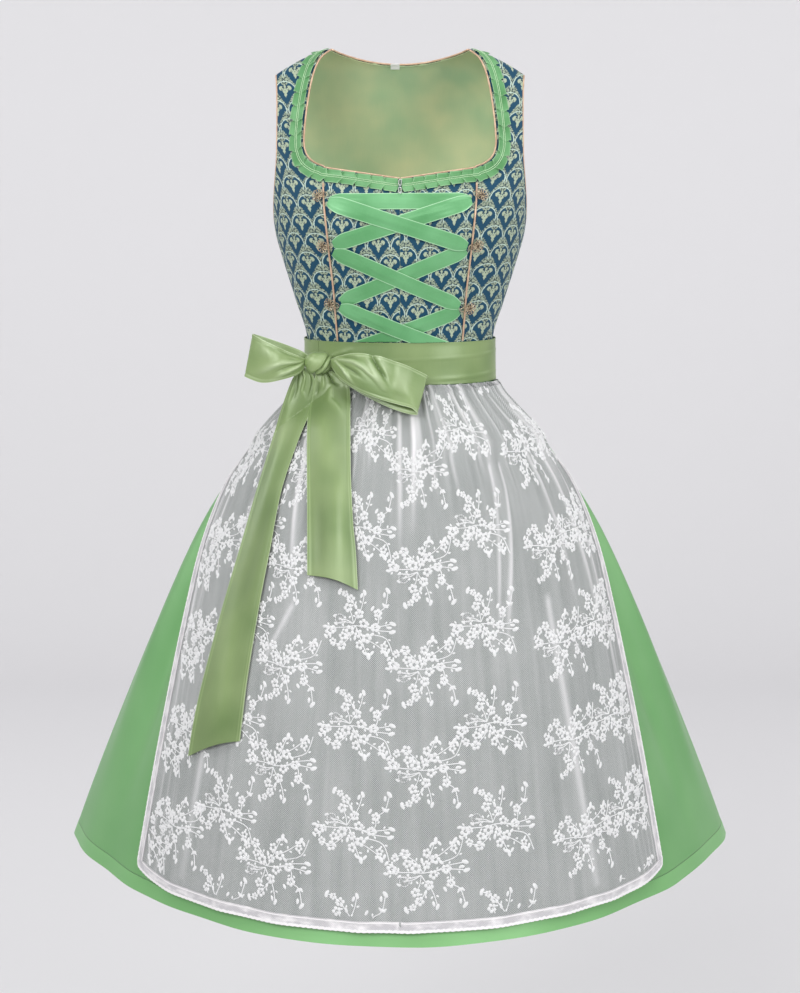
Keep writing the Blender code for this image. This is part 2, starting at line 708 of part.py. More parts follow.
# Pleated ribbon along the front neckline: knife pleats under one line of stitching.
def build_ruche(ribbon):
    edge = neck_edge()
    spots = [spot[0] for spot in edge]
    lengths = np.concatenate([[0], np.cumsum([(b - a).length for a, b in zip(spots, spots[1:])])])
    total = lengths[-1]
    pleats = round(total / RUCHE_PLEAT)
    columns = pleats * RUCHE_COLUMNS
    axes = [[spot[axis] for spot in spots] for axis in range(3)]

    def along_edge(distance):
        return Vector([float(np.interp(distance, lengths, axis)) for axis in axes])

    frames = {}
    margin = 0.0012
    for column in range(columns + 1):
        distance = blend(margin, total - margin, column / columns)
        start = along_edge(distance)
        behind = along_edge(max(distance - 0.008, 0))
        tangent = (along_edge(min(distance + 0.008, total)) - behind).normalized()
        _, normal = settle_on_front(start)
        inward = normal.cross(tangent).normalized()
        if inward.z > 0 and inward.x < 0:
            inward = -inward
        step_in_pleat = column % RUCHE_COLUMNS
        swing = step_in_pleat / (RUCHE_COLUMNS - 1)
        for row in range(3):
            share = row / 2
            outward_jog = 0.0010 * swing * (2 * share - 1)
            reach = 0.0008 + RUCHE_WIDTH * share + outward_jog
            spot, spot_normal = settle_on_front(start + inward * reach)
            height = 0.0006 + (0.0006 if row == 1 else 0.0019) * swing
            frames[column, row] = (spot + spot_normal * height, spot_normal)

    for name, sign in (("left", 1), ("right", -1)):

        def place(u, v):
            point, normal = frames[round(u * columns), round(v * 2)]
            return flip(point, sign), flip(normal, sign)

        add_sheet(f"ruche_{name}", columns, 2, place, 0, RIBBON_WALL, ribbon)


# ---------------------------------------------------------------- lacing, hooks and closure

def hook_spot(pair, sign):
    hook = HOOKS[pair]
    return sign * hook.x, hook.left_z if sign > 0 else hook.right_z


def lace_spot(pair, sign, nudge):
    x, height = hook_spot(pair, sign)
    return x - sign * LACE_END, height + nudge


def strand_list():
    return (
        Strand("lacing_top", lace_spot(0, -1, -0.0055), lace_spot(0, 1, -0.0055), 0),
        Strand("lacing_upper_under", lace_spot(0, 1, -0.006), lace_spot(1, -1, 0.002), 1),
        Strand("lacing_upper_over", lace_spot(0, -1, -0.007), lace_spot(1, 1, 0.000), 2),
        Strand("lacing_middle_under", lace_spot(1, 1, -0.006), lace_spot(2, -1, 0.003), 0),
        Strand("lacing_middle_over", lace_spot(1, -1, -0.007), lace_spot(2, 1, 0.003), 1),
        Strand("lacing_lower_under", lace_spot(2, 1, -0.004), (-0.0290, LACE_EXIT_Z), 0),
        Strand("lacing_lower_over", lace_spot(2, -1, -0.003), (0.0340, LACE_EXIT_Z), 2),
    )


# A flat ribbon strand laid over the bodice front; its ends draw in where the hooks hold it.
def build_lacing(ribbon):
    for strand in strand_list():
        start = np.array(strand.start)
        end = np.array(strand.end)
        direction = (end - start) / np.linalg.norm(end - start)
        across = np.array((-direction[1], direction[0]))
        tucked = abs(end[1] - LACE_EXIT_Z) < 0.0001
        low = LACE_LIFT + LACE_LAYER_RISE * strand.layer

        def place(u, v):
            pinch_start = blend(LACE_PINCH, 1.0, ease(u / LACE_PINCH_RUN))
            pinch_end = 1.0 if tucked else blend(LACE_PINCH, 1.0, ease((1 - u) / LACE_PINCH_RUN))
            half = LACE_RIBBON_WIDTH / 2 * min(pinch_start, pinch_end)
            side_step = (2 * v - 1) * half
            spot = start + (end - start) * u + across * side_step
            if tucked and spot[1] < LACE_EXIT_Z:
                slide = (LACE_EXIT_Z - spot[1]) / direction[1]
                spot = spot + direction * slide
            if tucked and u == 1.0:
                slide = (LACE_EXIT_Z - spot[1]) / direction[1]
                spot = spot + direction * slide
            return front_frame(spot[0], spot[1])

        add_sheet(strand.name, LACE_COLUMNS, 2, place, low, low + RIBBON_WALL, ribbon)


# Rosette with a wire eye on its inner side, cut from one outline with a hole for the ribbon.
def rosette_curve(name):
    data = bpy.data.curves.new(name, "CURVE")
    data.dimensions = "2D"
    data.fill_mode = "BOTH"
    data.extrude = HOOK_THICKNESS / 2
    outline = []
    for step in range(HOOK_STEPS):
        turn = math.tau * step / HOOK_STEPS
        radius = HOOK_RADIUS * (0.86 + 0.14 * math.cos(HOOK_PETALS * turn + math.pi))
        reach = max(math.cos(turn), 0) ** 24 * HOOK_EYE_REACH
        outline.append(((radius + reach) * math.cos(turn), (radius + reach * 0.2) * math.sin(turn)))
    hole = []
    for step in range(HOOK_EYE_STEPS):
        turn = -math.tau * step / HOOK_EYE_STEPS
        hole.append((0.0078 + 0.0013 * math.cos(turn), 0.0009 * math.sin(turn)))
    for points in (outline, hole):
        spline = data.splines.new("POLY")
        spline.points.add(len(points) - 1)
        for slot, point in zip(spline.points, points):
            slot.co = (*point, 0, 1)
        spline.use_cyclic_u = True
    return data


def build_hooks(metal):
    for pair in range(len(HOOKS)):
        for name, sign in (("left", 1), ("right", -1)):
            x, height = hook_spot(pair, sign)
            point, normal = front_frame(x, height)
            toward_centre = Vector((-sign, 0, 0))
            toward_centre = (toward_centre - normal * toward_centre.dot(normal)).normalized()
            third = normal.cross(toward_centre)
            label = f"lace_hook_{name}_{pair + 1}"
            hook = add_object(label, rosette_curve(label), metal)
            turned = Matrix((toward_centre, third, normal)).transposed().to_4x4()
            centre = point + normal * (HOOK_LIFT + HOOK_THICKNESS / 2)
            hook.matrix_world = Matrix.Translation(centre) @ turned


# Two wire loops of the hook and eye that close the centre front under the lacing.
def build_closure(metal):
    for name, centre_z in CLOSURE_LOOPS:
        points = []
        for step in range(CLOSURE_STEPS):
            turn = math.tau * step / CLOSURE_STEPS
            x = CLOSURE_HALF_WIDTH * math.cos(turn)
            height = centre_z + CLOSURE_HALF_HEIGHT * math.sin(turn)
            point, _ = front_frame(abs(x) + SEAM_GAP, height)
            points.append(Vector((x, point.y - CLOSURE_STAND_OFF, height)))
        add_tube(name, points, CLOSURE_WIRE, metal, closed=True, bevel_resolution=0)


def build_label(satin):
    surface = -BACK_WALL - LINING_WALL - 5 * SEAM_GAP

    def place(u, v):
        height = blend(LABEL_TOP, LABEL_BOTTOM, v)
        x = LABEL_X + LABEL_HALF_WIDTH * (2 * u - 1)
        point, normal = torso_frame(BACK, turn_at(x, height), height)
        return (mirror_x(point), mirror_x(normal)) if x < 0 else (point, normal)

    add_sheet("size_label", 2, 2, place, surface - LABEL_WALL, surface, satin)


# ---------------------------------------------------------------- form of the skirt

skirt_at = column_curve(SKIRT)
RING_STEPS = 240


# Half ring of the skirt from the left side seam (share 0) round to the right one (share 1).
class HalfRing:
    def __init__(self, side, height, lift=0.0):
        half_width, front, back, round_x, round_y = skirt_at(height)
        depth = front if side == FRONT else back
        turn = np.linspace(0, math.pi, RING_STEPS)
        cosine = np.cos(turn)
        self.x = (half_width + lift) * np.sign(cosine) * np.abs(cosine) ** round_x
        self.y = side * ((depth + lift) * np.clip(np.sin(turn), 0, 1) ** round_y + SEAM_GAP / 2)
        length = np.concatenate([[0], np.cumsum(np.hypot(np.diff(self.x), np.diff(self.y)))])
        self.share = length / length[-1]
        self.height = height

    def share_at_x(self, x):
        return float(np.interp(-x, -self.x, self.share))

    def plan(self, share):
        x = float(np.interp(share, self.share, self.x))
        y = float(np.interp(share, self.share, self.y))
        return Vector((x, y, self.height))

    # Plan direction out of the ring, straight sideways at the seams.
    def out(self, share, side):
        if share < 0.0005:
            return Vector((1, 0, 0))
        if share > 0.9995:
            return Vector((-1, 0, 0))
        run = self.plan(min(share + 0.006, 1)) - self.plan(max(share - 0.006, 0))
        return Vector((side * run.y, -side * run.x, 0)).normalized()


ring_store = {}


def half_ring(side, height, lift=0.0):
    key = (side, round(height, 6), round(lift, 6))
    if key not in ring_store:
        ring_store[key] = HalfRing(side, height, lift)
    return ring_store[key]


def fold_rise(folds, share, down, bottom_weight):
    rise = 0.0
    for fold in folds:
        centre = blend(fold.top, fold.bottom, down)
        grow = ease((down - 0.06) / 0.30) * blend(1.0, bottom_weight, ease((down - 0.55) / 0.45))
        rise += fold.rise * grow * math.exp(-(((share - centre) / fold.spread) ** 2))
    return rise


# Outer surface of the skirt with its gathers at the waist and its long folds below.
def skirt_surface(side, share, height):
    down = (SKIRT[0].height - height) / (SKIRT[0].height - HEM)
    opening = ease((-0.385 - height) / 0.030)
    fading = 1 - ease((-0.415 - height) / 0.16)
    gather = blend(0.0005, SKIRT_GATHER_RISE, opening) * fading
    rise = gather * math.cos(math.tau * SKIRT_GATHERS * share)
    folds = FRONT_FOLDS if side == FRONT else BACK_FOLDS
    rise += fold_rise(folds, share, down, 0.55) * ease(share / 0.03) * ease((1 - share) / 0.03)
    ring = half_ring(side, height)
    return ring.plan(share) + ring.out(share, side) * rise


# Outward normal of any surface given by share and height.
def surface_normal(surface, share, height, side):
    small_share = 0.0012
    small_height = 0.0008
    left = max(share - small_share, 0.0)
    right = min(share + small_share, 1.0)
    low = max(height - small_height, HEM)
    high = min(height + small_height, SKIRT[0].height)
    across = surface(right, height) - surface(left, height)
    up = surface(share, high) - surface(share, low)
    normal = up.cross(across).normalized() * (1 if side == FRONT else -1)
    if share < 0.0005 or share > 0.9995:
        normal.y = 0
        normal.normalize()
    return normal


def build_skirt(cloth):
    rows = len(SKIRT_ROWS) - 1
    halves = (("skirt_front", FRONT, COVERED_GATHER_COLUMNS), ("skirt_back", BACK, GATHER_COLUMNS))
    for name, side, gather_columns in halves:

        def surface(share, height):
            return skirt_surface(side, share, height)

        def place(u, v):
            height = SKIRT_ROWS[round(v * rows)]
            return surface(u, height), surface_normal(surface, u, height, side)

        add_sheet(name, SKIRT_GATHERS * gather_columns, rows, place, -SKIRT_WALL, 0, cloth)


# ---------------------------------------------------------------- apron

apron_edge_at = column_curve(APRON_EDGE)


# Point of the apron; u runs from its left edge to its right, down from its gathered top to its hem.
def apron_point(u, down):
    corner = abs(2 * u - 1) ** 10
    bottom = blend(APRON_CENTRE_BOTTOM, APRON_CORNER_BOTTOM, corner)
    height = blend(APRON_TOP, bottom, down)
    ring = half_ring(FRONT, height, APRON_LIFT)
    half_width = float(apron_edge_at(height)[0])
    start = ring.share_at_x(half_width)
    share = blend(start, 1 - start, u)
    gather = APRON_GATHER_RISE * (1 - ease((down - 0.03) / 0.36))
    rise = gather * math.cos(math.tau * APRON_GATHERS * u)
    rise += fold_rise(APRON_FOLDS, u, down, 0.6)
    return ring.plan(share) + ring.out(share, FRONT) * rise


def apron_frame(u, down):
    small = 0.0015
    across = apron_point(min(u + small, 1), down) - apron_point(max(u - small, 0), down)
    drop = apron_point(u, min(down + small, 1)) - apron_point(u, max(down - small, 0))
    normal = across.cross(drop).normalized()
    return apron_point(u, down), normal


def build_apron(net, trim):
    columns = APRON_GATHERS * GATHER_COLUMNS
    rows = len(APRON_ROWS) - 1

    def place(u, v):
        return apron_frame(u, APRON_ROWS[round(v * rows)])

    add_sheet("apron_lace", columns, rows, place, 0, APRON_WALL, net)
    build_apron_edging(trim, place, columns, rows)


# Woven edge that runs down one side of the apron, along its hem and up the other side.
def build_apron_edging(trim, place, columns, rows):
    hem_step = 2
    path = [(0.0, row / rows) for row in range(1, rows + 1)]
    path += [(column / columns, 1.0) for column in range(hem_step, columns - hem_step + 1, hem_step)]
    path += [(1.0, row / rows) for row in range(rows, 0, -1)]
    last = len(path) - 1

    def edge_place(u, v):
        spot = path[round(u * last)]
        point, normal = place(*spot)
        inset = EDGING_WIDTH * (1 - v) + 0.0002
        inward = edge_inward(spot, place)
        return point + inward * inset, normal

    low = APRON_WALL + 0.0014
    add_sheet("apron_edging", last, 1, edge_place, low, low + EDGING_WALL, trim)


# Direction from the apron's edge into its cloth, half way round at a corner.
def edge_inward(spot, place):
    u, v = spot
    point, _ = place(u, v)
    inward = Vector((0, 0, 0))
    if u == 0.0:
        inward += (apron_frame(0.02, APRON_ROWS[round(v * (len(APRON_ROWS) - 1))])[0] - point).normalized()
    if u == 1.0:
        inward += (apron_frame(0.98, APRON_ROWS[round(v * (len(APRON_ROWS) - 1))])[0] - point).normalized()
    if v == 1.0:
        inward += (apron_frame(u, 0.97)[0] - point).normalized()
    return inward


# ---------------------------------------------------------------- band and bow

band_at = column_curve(BAND)


def build_band(satin):
    def place(u, v):
        height = blend(BAND_TOP, BAND_BOTTOM, v)
        half_width, front, back, squareness = band_at(height)
        turn = math.tau * u
        depth = back if math.sin(turn) > 0 else front
        x = half_width * signed_power(math.cos(turn), 2 / squareness)
        y = depth * signed_power(math.sin(turn), 2 / squareness)
        slope_x = signed_power(x / half_width, squareness - 1) / half_width
        slope_y = signed_power(y / depth, squareness - 1) / depth
        return Vector((x, y, height)), Vector((slope_x, slope_y, 0)).normalized()

    add_ring("apron_band", BAND_SEGMENTS, place, 0, SATIN_WALL, satin)


# How far forward the front of the skirt lies under a point, with the apron and its folds on it.
def cover_y(x, height):
    half_width, front, _, round_x, round_y = skirt_at(min(height, BAND_BOTTOM))
    share = min(abs(x) / (half_width + TAIL_LIFT), 1.0)
    cosine = share ** (1 / round_x)
    return -(front + TAIL_LIFT) * math.sqrt(max(1 - cosine * cosine, 0)) ** round_y


def tail_point(section, across):
    right_x, right_z, left_x, left_z, crown = section
    x = blend(right_x, left_x, across)
    height = blend(right_z, left_z, across)
    rest = min(cover_y(x, height), TAIL_HANG_Y)
    return Vector((x, rest - crown * math.sin(math.pi * across), height))


def build_tails(satin):
    for name, table, rows in (("bow_tail_long", TAIL_LONG, 15), ("bow_tail_short", TAIL_SHORT, 9)):
        sections = section_curve(table)
        last = len(table) - 1

        def point(u, v):
            return tail_point(sections(v * last), u)

        add_free_sheet(name, 4, rows, point, satin)


def build_loops(satin):
    for name, table, rows in (("bow_loop_left", LOOP_LEFT, 20), ("bow_loop_right", LOOP_RIGHT, 16)):
        sections = section_curve(table)
        last = len(table) - 1

        def point(u, v):
            section = sections(v * last)
            spot = Vector(blend(section[0:3], section[3:6], u))
            return spot + Vector((0, -section[6] * math.sin(math.pi * u), 0))

        add_free_sheet(name, 4, rows, point, satin)


# A sheet of ribbon from its own points, with half its wall on either side of them.
def add_free_sheet(name, columns, rows, point, material):
    small = 0.004

    def place(u, v):
        across = point(min(u + small, 1), v) - point(max(u - small, 0), v)
        along = point(u, min(v + small, 1)) - point(u, max(v - small, 0))
        return point(u, v), across.cross(along).normalized()

    add_sheet(name, columns, rows, place, -SATIN_WALL / 2, SATIN_WALL / 2, material)


# The knot: a plump wrap with two creases across it.
def build_knot(satin):
    mesh = bpy.data.meshes.new("bow_knot")
    form = bmesh.new()
    bmesh.ops.create_uvsphere(form, u_segments=KNOT_SEGMENTS, v_segments=KNOT_RINGS, radius=1.0)
    for vertex in form.verts:
        spot = vertex.co.copy()
        turn = math.atan2(spot.y, spot.x)
        crease = 1 - 0.10 * math.cos(3 * turn + 2.2 * spot.z) * (1 - spot.z**2)
        vertex.co = spot * Vector(KNOT_RADII) * crease + Vector(KNOT_CENTRE)
    form.to_mesh(mesh)
    form.free()
    mesh.shade_smooth()
    add_object("bow_knot", mesh, satin)


# ---------------------------------------------------------------- the dress

def build_dress():
    brocade = make_material("brocade", srgb(62, 112, 130), 0.45)
    lining = make_material("lining_satin", srgb(155, 171, 130), 0.35)
    label_cloth = make_material("label_cloth", srgb(240, 240, 238), 0.60)
    braid = make_material("piping_satin", srgb(205, 172, 142), 0.40)
    lace_ribbon = make_material("green_ribbon", srgb(122, 180, 125), 0.35)
    copper = make_material("antique_copper", srgb(150, 120, 100), 0.40, 1.0)
    steel = make_material("closure_metal", srgb(215, 215, 215), 0.30, 1.0)
    band_satin = make_material("sage_satin", srgb(146, 167, 119), 0.32)
    skirt_satin = make_material("skirt_satin", srgb(118, 165, 113), 0.38)
    net = make_material("apron_net", srgb(205, 210, 208), 0.70)
    trim = make_material("lace_edging", srgb(236, 236, 238), 0.70)

    build_front_panels(brocade)
    build_back(brocade, lining)
    build_label(label_cloth)
    build_piping(braid)
    build_ruche(lace_ribbon)
    build_lacing(lace_ribbon)
    build_hooks(copper)
    build_closure(steel)
    build_skirt(skirt_satin)
    build_apron(net, trim)
    build_band(band_satin)
    build_knot(band_satin)
    build_loops(band_satin)
    build_tails(band_satin)


build_dress()
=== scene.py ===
import json
import math

import bmesh
import bpy
import numpy as np
from mathutils import Matrix, Vector

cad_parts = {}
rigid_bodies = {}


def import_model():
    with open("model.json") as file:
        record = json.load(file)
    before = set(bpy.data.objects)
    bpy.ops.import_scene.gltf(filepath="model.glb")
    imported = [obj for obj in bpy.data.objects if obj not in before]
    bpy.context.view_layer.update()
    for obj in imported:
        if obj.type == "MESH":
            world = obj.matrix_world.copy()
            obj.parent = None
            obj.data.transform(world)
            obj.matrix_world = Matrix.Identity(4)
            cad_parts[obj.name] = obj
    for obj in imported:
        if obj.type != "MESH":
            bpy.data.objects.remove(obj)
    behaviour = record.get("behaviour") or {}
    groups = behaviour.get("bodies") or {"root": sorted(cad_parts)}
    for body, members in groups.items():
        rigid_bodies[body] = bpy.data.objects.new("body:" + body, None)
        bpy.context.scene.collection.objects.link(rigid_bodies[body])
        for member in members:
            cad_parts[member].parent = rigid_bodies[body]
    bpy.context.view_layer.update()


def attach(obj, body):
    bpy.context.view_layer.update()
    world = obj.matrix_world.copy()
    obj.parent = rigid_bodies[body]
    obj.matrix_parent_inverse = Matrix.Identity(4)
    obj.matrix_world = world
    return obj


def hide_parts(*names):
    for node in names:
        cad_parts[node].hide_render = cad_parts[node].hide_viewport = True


for leftover in list(bpy.data.objects):
    bpy.data.objects.remove(leftover)
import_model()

frontSide = -1  # the wearer faces -Y, and +X is the wearer's left
backSide = 1
seamGap = 0.0003
waist = -0.372
hem = -0.985
tenth = 0.0001  # most rows of places are in tenths of a millimetre


# Rows of whole numbers brought to metres or shares, with a unit for each column.
def sized(units, rows):
    return [[value * unit for value, unit in zip(row, units)] for row in rows]


# Smooth run between two rows of values with their slopes.
def blended(t, start, startSlope, end, endSlope):
    start = start * (2 * t**3 - 3 * t**2 + 1) + startSlope * (t**3 - 2 * t**2 + t)
    return np.moveaxis(start + end * (3 * t**2 - 2 * t**3) + endSlope * (t**3 - t**2), -1, 0)


# Smooth reading of rows of sizes, with no overshoot between them.
def smoothCurve(keys, values):
    keys, value = np.asarray(keys, dtype=float), np.asarray(values, dtype=float)
    step = np.diff(keys)
    slope = np.diff(value, axis=0) / step[:, None]
    sameWay = slope[:-1] * slope[1:] > 0
    total = np.where(sameWay, slope[:-1] + slope[1:], 1.0)
    inner = np.where(sameWay, 2 * slope[:-1] * slope[1:] / total, 0.0)
    tangent = np.vstack([slope[:1], inner, slope[-1:]])

    def at(key):
        key = np.asarray(key, dtype=float)
        index = np.clip(np.searchsorted(keys, key) - 1, 0, len(step) - 1)
        t = np.clip((key - keys[index]) / step[index], 0, 1)[..., None]
        span = step[index][..., None]
        return blended(t, value[index], tangent[index] * span, value[index + 1], tangent[index + 1] * span)

    return at


# Rows whose first column is a falling height.
def byHeight(rows):
    rows = np.array(rows, dtype=float)
    curve = smoothCurve(-rows[:, 0], rows[:, 1:])
    return lambda height: curve(-np.asarray(height, dtype=float))


# Rows of a ribbon, read by their number.
def byRow(rows):
    value = np.array(rows, dtype=float)

    def at(row):
        row = np.asarray(row, dtype=float)
        index = np.clip(np.floor(row).astype(int), 0, len(value) - 2)
        here, after = value[index], value[index + 1]
        before, beyond = value[np.maximum(index - 1, 0)], value[np.minimum(index + 2, len(value) - 1)]
        return blended((row - index)[..., None], here, (after - before) / 2, after, (beyond - here) / 2)

    return at


def lerp(start, end, share):
    return start + (end - start) * share


def ease(share):
    share = np.clip(share, 0, 1)
    return share * share * (3 - 2 * share)


def bell(value, middle, width):
    return np.exp(-(((value - middle) / width) ** 2))


def signedPower(value, power):
    return np.sign(value) * np.abs(value) ** power


def unit(vectors):
    return vectors / np.maximum(np.linalg.norm(vectors, axis=-1, keepdims=True), 1e-9)


def joined(x, y, z):
    return np.stack(np.broadcast_arrays(x, y, z), axis=-1).astype(float)


# The same place on the wearer's left, or on the right with a side of -1.
def onSide(spots, side):
    return spots * np.array([side, 1.0, 1.0])


# Reads a table of points at two shares from 0 to 1.
def tableAt(table, rowShare, columnShare):
    row = np.clip(rowShare, 0, 1) * (table.shape[0] - 1)
    column = np.clip(columnShare, 0, 1) * (table.shape[1] - 1)
    rowIndex = np.minimum(row.astype(int), table.shape[0] - 2)
    columnIndex = np.minimum(column.astype(int), table.shape[1] - 2)
    down = (row - rowIndex)[..., None]
    along = (column - columnIndex)[..., None]
    top = lerp(table[rowIndex, columnIndex], table[rowIndex, columnIndex + 1], along)
    low = lerp(table[rowIndex + 1, columnIndex], table[rowIndex + 1, columnIndex + 1], along)
    return lerp(top, low, down)


# Creases pressed into a cloth along lines in its own shares, each row being
# u and v at its start, u and v at its end, width, rise, strength left at start and at end.
def creaseRise(creases, u, v):
    rise = np.zeros(np.shape(u))
    for startU, startV, endU, endV, width, height, leftStart, leftEnd in creases:
        runU, runV = endU - startU, endV - startV
        along = ((u - startU) * runU + (v - startV) * runV) / (runU**2 + runV**2)
        held = np.clip(along, 0, 1)
        off = np.hypot(u - startU - held * runU, v - startV - held * runV)
        fade = lerp(leftStart, 1, ease(held / 0.35)) * lerp(leftEnd, 1, ease((1 - held) / 0.5))
        rise += height * fade * bell(off, 0, width)
    return rise


# Rise and fall of folds that run through several places on the cut cloth, all in one unit.
def foldLines(folds, across, along):
    across, along = np.broadcast_arrays(across, along)
    rise = np.zeros(across.shape)
    for places, widths, height, leftStart, leftEnd in folds:
        steps = np.diff(np.array(places), axis=0)
        lengths = np.hypot(*steps.T)
        nearest, held, done = np.full(across.shape, np.inf), np.zeros(across.shape), 0.0
        for (startX, startY), (runX, runY), length in zip(places, steps, lengths):
            offX, offY = across - startX, along - startY
            share = np.clip((offX * runX + offY * runY) / length**2, 0, 1)
            off = np.hypot(offX - share * runX, offY - share * runY)
            off = off / np.where(offX * runY > offY * runX, *widths)
            closer = off < nearest
            held = np.where(closer, (done + share * length) / lengths.sum(), held)
            nearest = np.where(closer, off, nearest)
            done += length
        fade = lerp(leftStart, 1, ease(held / 0.3)) * lerp(leftEnd, 1, ease((1 - held) / 0.45))
        rise += height * fade * bell(nearest, 0, 1)
    return rise


# Normals of a surface of two shares, pointing away from a centre.
def surfaceNormals(surface, u, v, centre, small=0.0012):
    across = surface(np.minimum(u + small, 1), v) - surface(np.maximum(u - small, 0), v)
    along = surface(u, np.minimum(v + small, 1)) - surface(u, np.maximum(v - small, 0))
    normals = unit(np.cross(across, along))
    spots = surface(u, v)
    if np.sum(normals * (spots - np.array(centre))) < 0:
        normals = -normals
    atSeam = np.abs(spots[..., 1]) < 0.0006  # shoulder and side seams are cut square
    normals[..., 1] = np.where(atSeam, 0, normals[..., 1])
    return spots, unit(normals)


# A sheet of cloth: a grid laid out flat, given its wall, then carried to its place.
# The map called cut holds the flat cloth in metres, and mark a number for its material.
def clothSheet(name, columns, rows, surface, low, high, cut, materials, centre=(0, 0, -0.3), mark=None):
    form = bmesh.new()
    bmesh.ops.create_grid(form, x_segments=columns, y_segments=rows, size=0.5)
    bmesh.ops.translate(form, vec=(0.5, 0.5, 0), verts=form.verts)
    grown = bmesh.ops.extrude_face_region(form, geom=list(form.faces))
    inner = {item for item in grown["geom"] if isinstance(item, bmesh.types.BMVert)}
    innerFaces = {item for item in grown["geom"] if isinstance(item, bmesh.types.BMFace)}
    corners = list(form.verts)
    u = np.array([vertex.co.x for vertex in corners]).clip(0, 1)
    v = np.array([vertex.co.y for vertex in corners]).clip(0, 1)
    flat = np.column_stack(cut(u, v)) if callable(cut) else np.column_stack([u * cut[0], v * cut[1]])
    layer = form.loops.layers.uv.new("cut")
    form.verts.index_update()
    for face in form.faces:
        face.material_index = 1 if len(materials) > 1 and face in innerFaces else 0
        for loop in face.loops:
            loop[layer].uv = flat[loop.vert.index]
    spots, normals = surfaceNormals(surface, u, v, centre)
    lift = np.array([low if vertex in inner else high for vertex in corners])
    for vertex, spot in zip(corners, spots + normals * lift[:, None]):
        vertex.co = spot
    bmesh.ops.recalc_face_normals(form, faces=list(form.faces))
    if form.calc_volume(signed=True) < 0:
        bmesh.ops.reverse_faces(form, faces=list(form.faces))
    piece = finishPiece(name, form, materials)
    if mark is not None:
        piece.data.attributes.new("mark", "FLOAT", "POINT").data.foreach_set("value", mark(u, v))
    return piece


def finishPiece(name, form, materials, sharpAngle=50):
    mesh = bpy.data.meshes.new(name)
    form.to_mesh(mesh)
    form.free()
    mesh.shade_smooth()
    mesh.set_sharp_from_angle(angle=math.radians(sharpAngle))
    piece = bpy.data.objects.new(name, mesh)
    for material in materials:
        mesh.materials.append(material)
    bpy.context.scene.collection.objects.link(piece)
    return piece


# Round cords, threads and wires along paths of points.
def wirePiece(name, paths, radius, material, sides=2, closed=False, swell=None):
    data = bpy.data.curves.new(name, "CURVE")
    data.dimensions = "3D"
    data.bevel_depth = radius
    data.bevel_resolution = sides
    data.use_fill_caps = not closed
    for path in paths:
        spline = data.splines.new("POLY")
        spline.points.add(len(path) - 1)
        spline.points.foreach_set("co", np.column_stack([path, np.ones(len(path))]).ravel())
        if swell is not None:
            spline.points.foreach_set("radius", swell(np.arange(len(path))))
        spline.use_cyclic_u = closed
    holder = bpy.data.objects.new(name, data)
    bpy.context.scene.collection.objects.link(holder)
    mesh = bpy.data.meshes.new_from_object(holder.evaluated_get(bpy.context.evaluated_depsgraph_get()))
    bpy.data.objects.remove(holder)
    form = bmesh.new()
    form.from_mesh(mesh)
    bpy.data.meshes.remove(mesh)
    bmesh.ops.remove_doubles(form, verts=form.verts, dist=0.00001)
    bmesh.ops.recalc_face_normals(form, faces=form.faces)
    return finishPiece(name, form, [material])


def fit(piece, slotName, *nodes):
    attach(piece, "root")
    if nodes:
        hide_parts(*nodes)
    return piece


print("tools ready")


def mathNode(operation):
    return lambda self, *others: self.recipe.math(operation, self, *others)


# A socket whose sums in Python add Math nodes.
class Wire:
    __add__ = __radd__ = mathNode("ADD")
    __mul__ = __rmul__ = mathNode("MULTIPLY")
    __sub__, __truediv__, __pow__ = mathNode("SUBTRACT"), mathNode("DIVIDE"), mathNode("POWER")
    __mod__, __abs__, sine = mathNode("FLOORED_MODULO"), mathNode("ABSOLUTE"), mathNode("SINE")
    most, least = mathNode("MAXIMUM"), mathNode("MINIMUM")

    def __init__(self, recipe, socket):
        self.recipe, self.socket = recipe, socket

    def __rsub__(self, other):
        return self.recipe.math("SUBTRACT", other, self)

    def __neg__(self):
        return self * -1.0

    def clamp(self):
        return self.most(0.0).least(1.0)

    # 1 where the value is under an edge, over a soft band
    def under(self, edge, soft):
        return ((edge - self) / soft + 0.5).clamp()


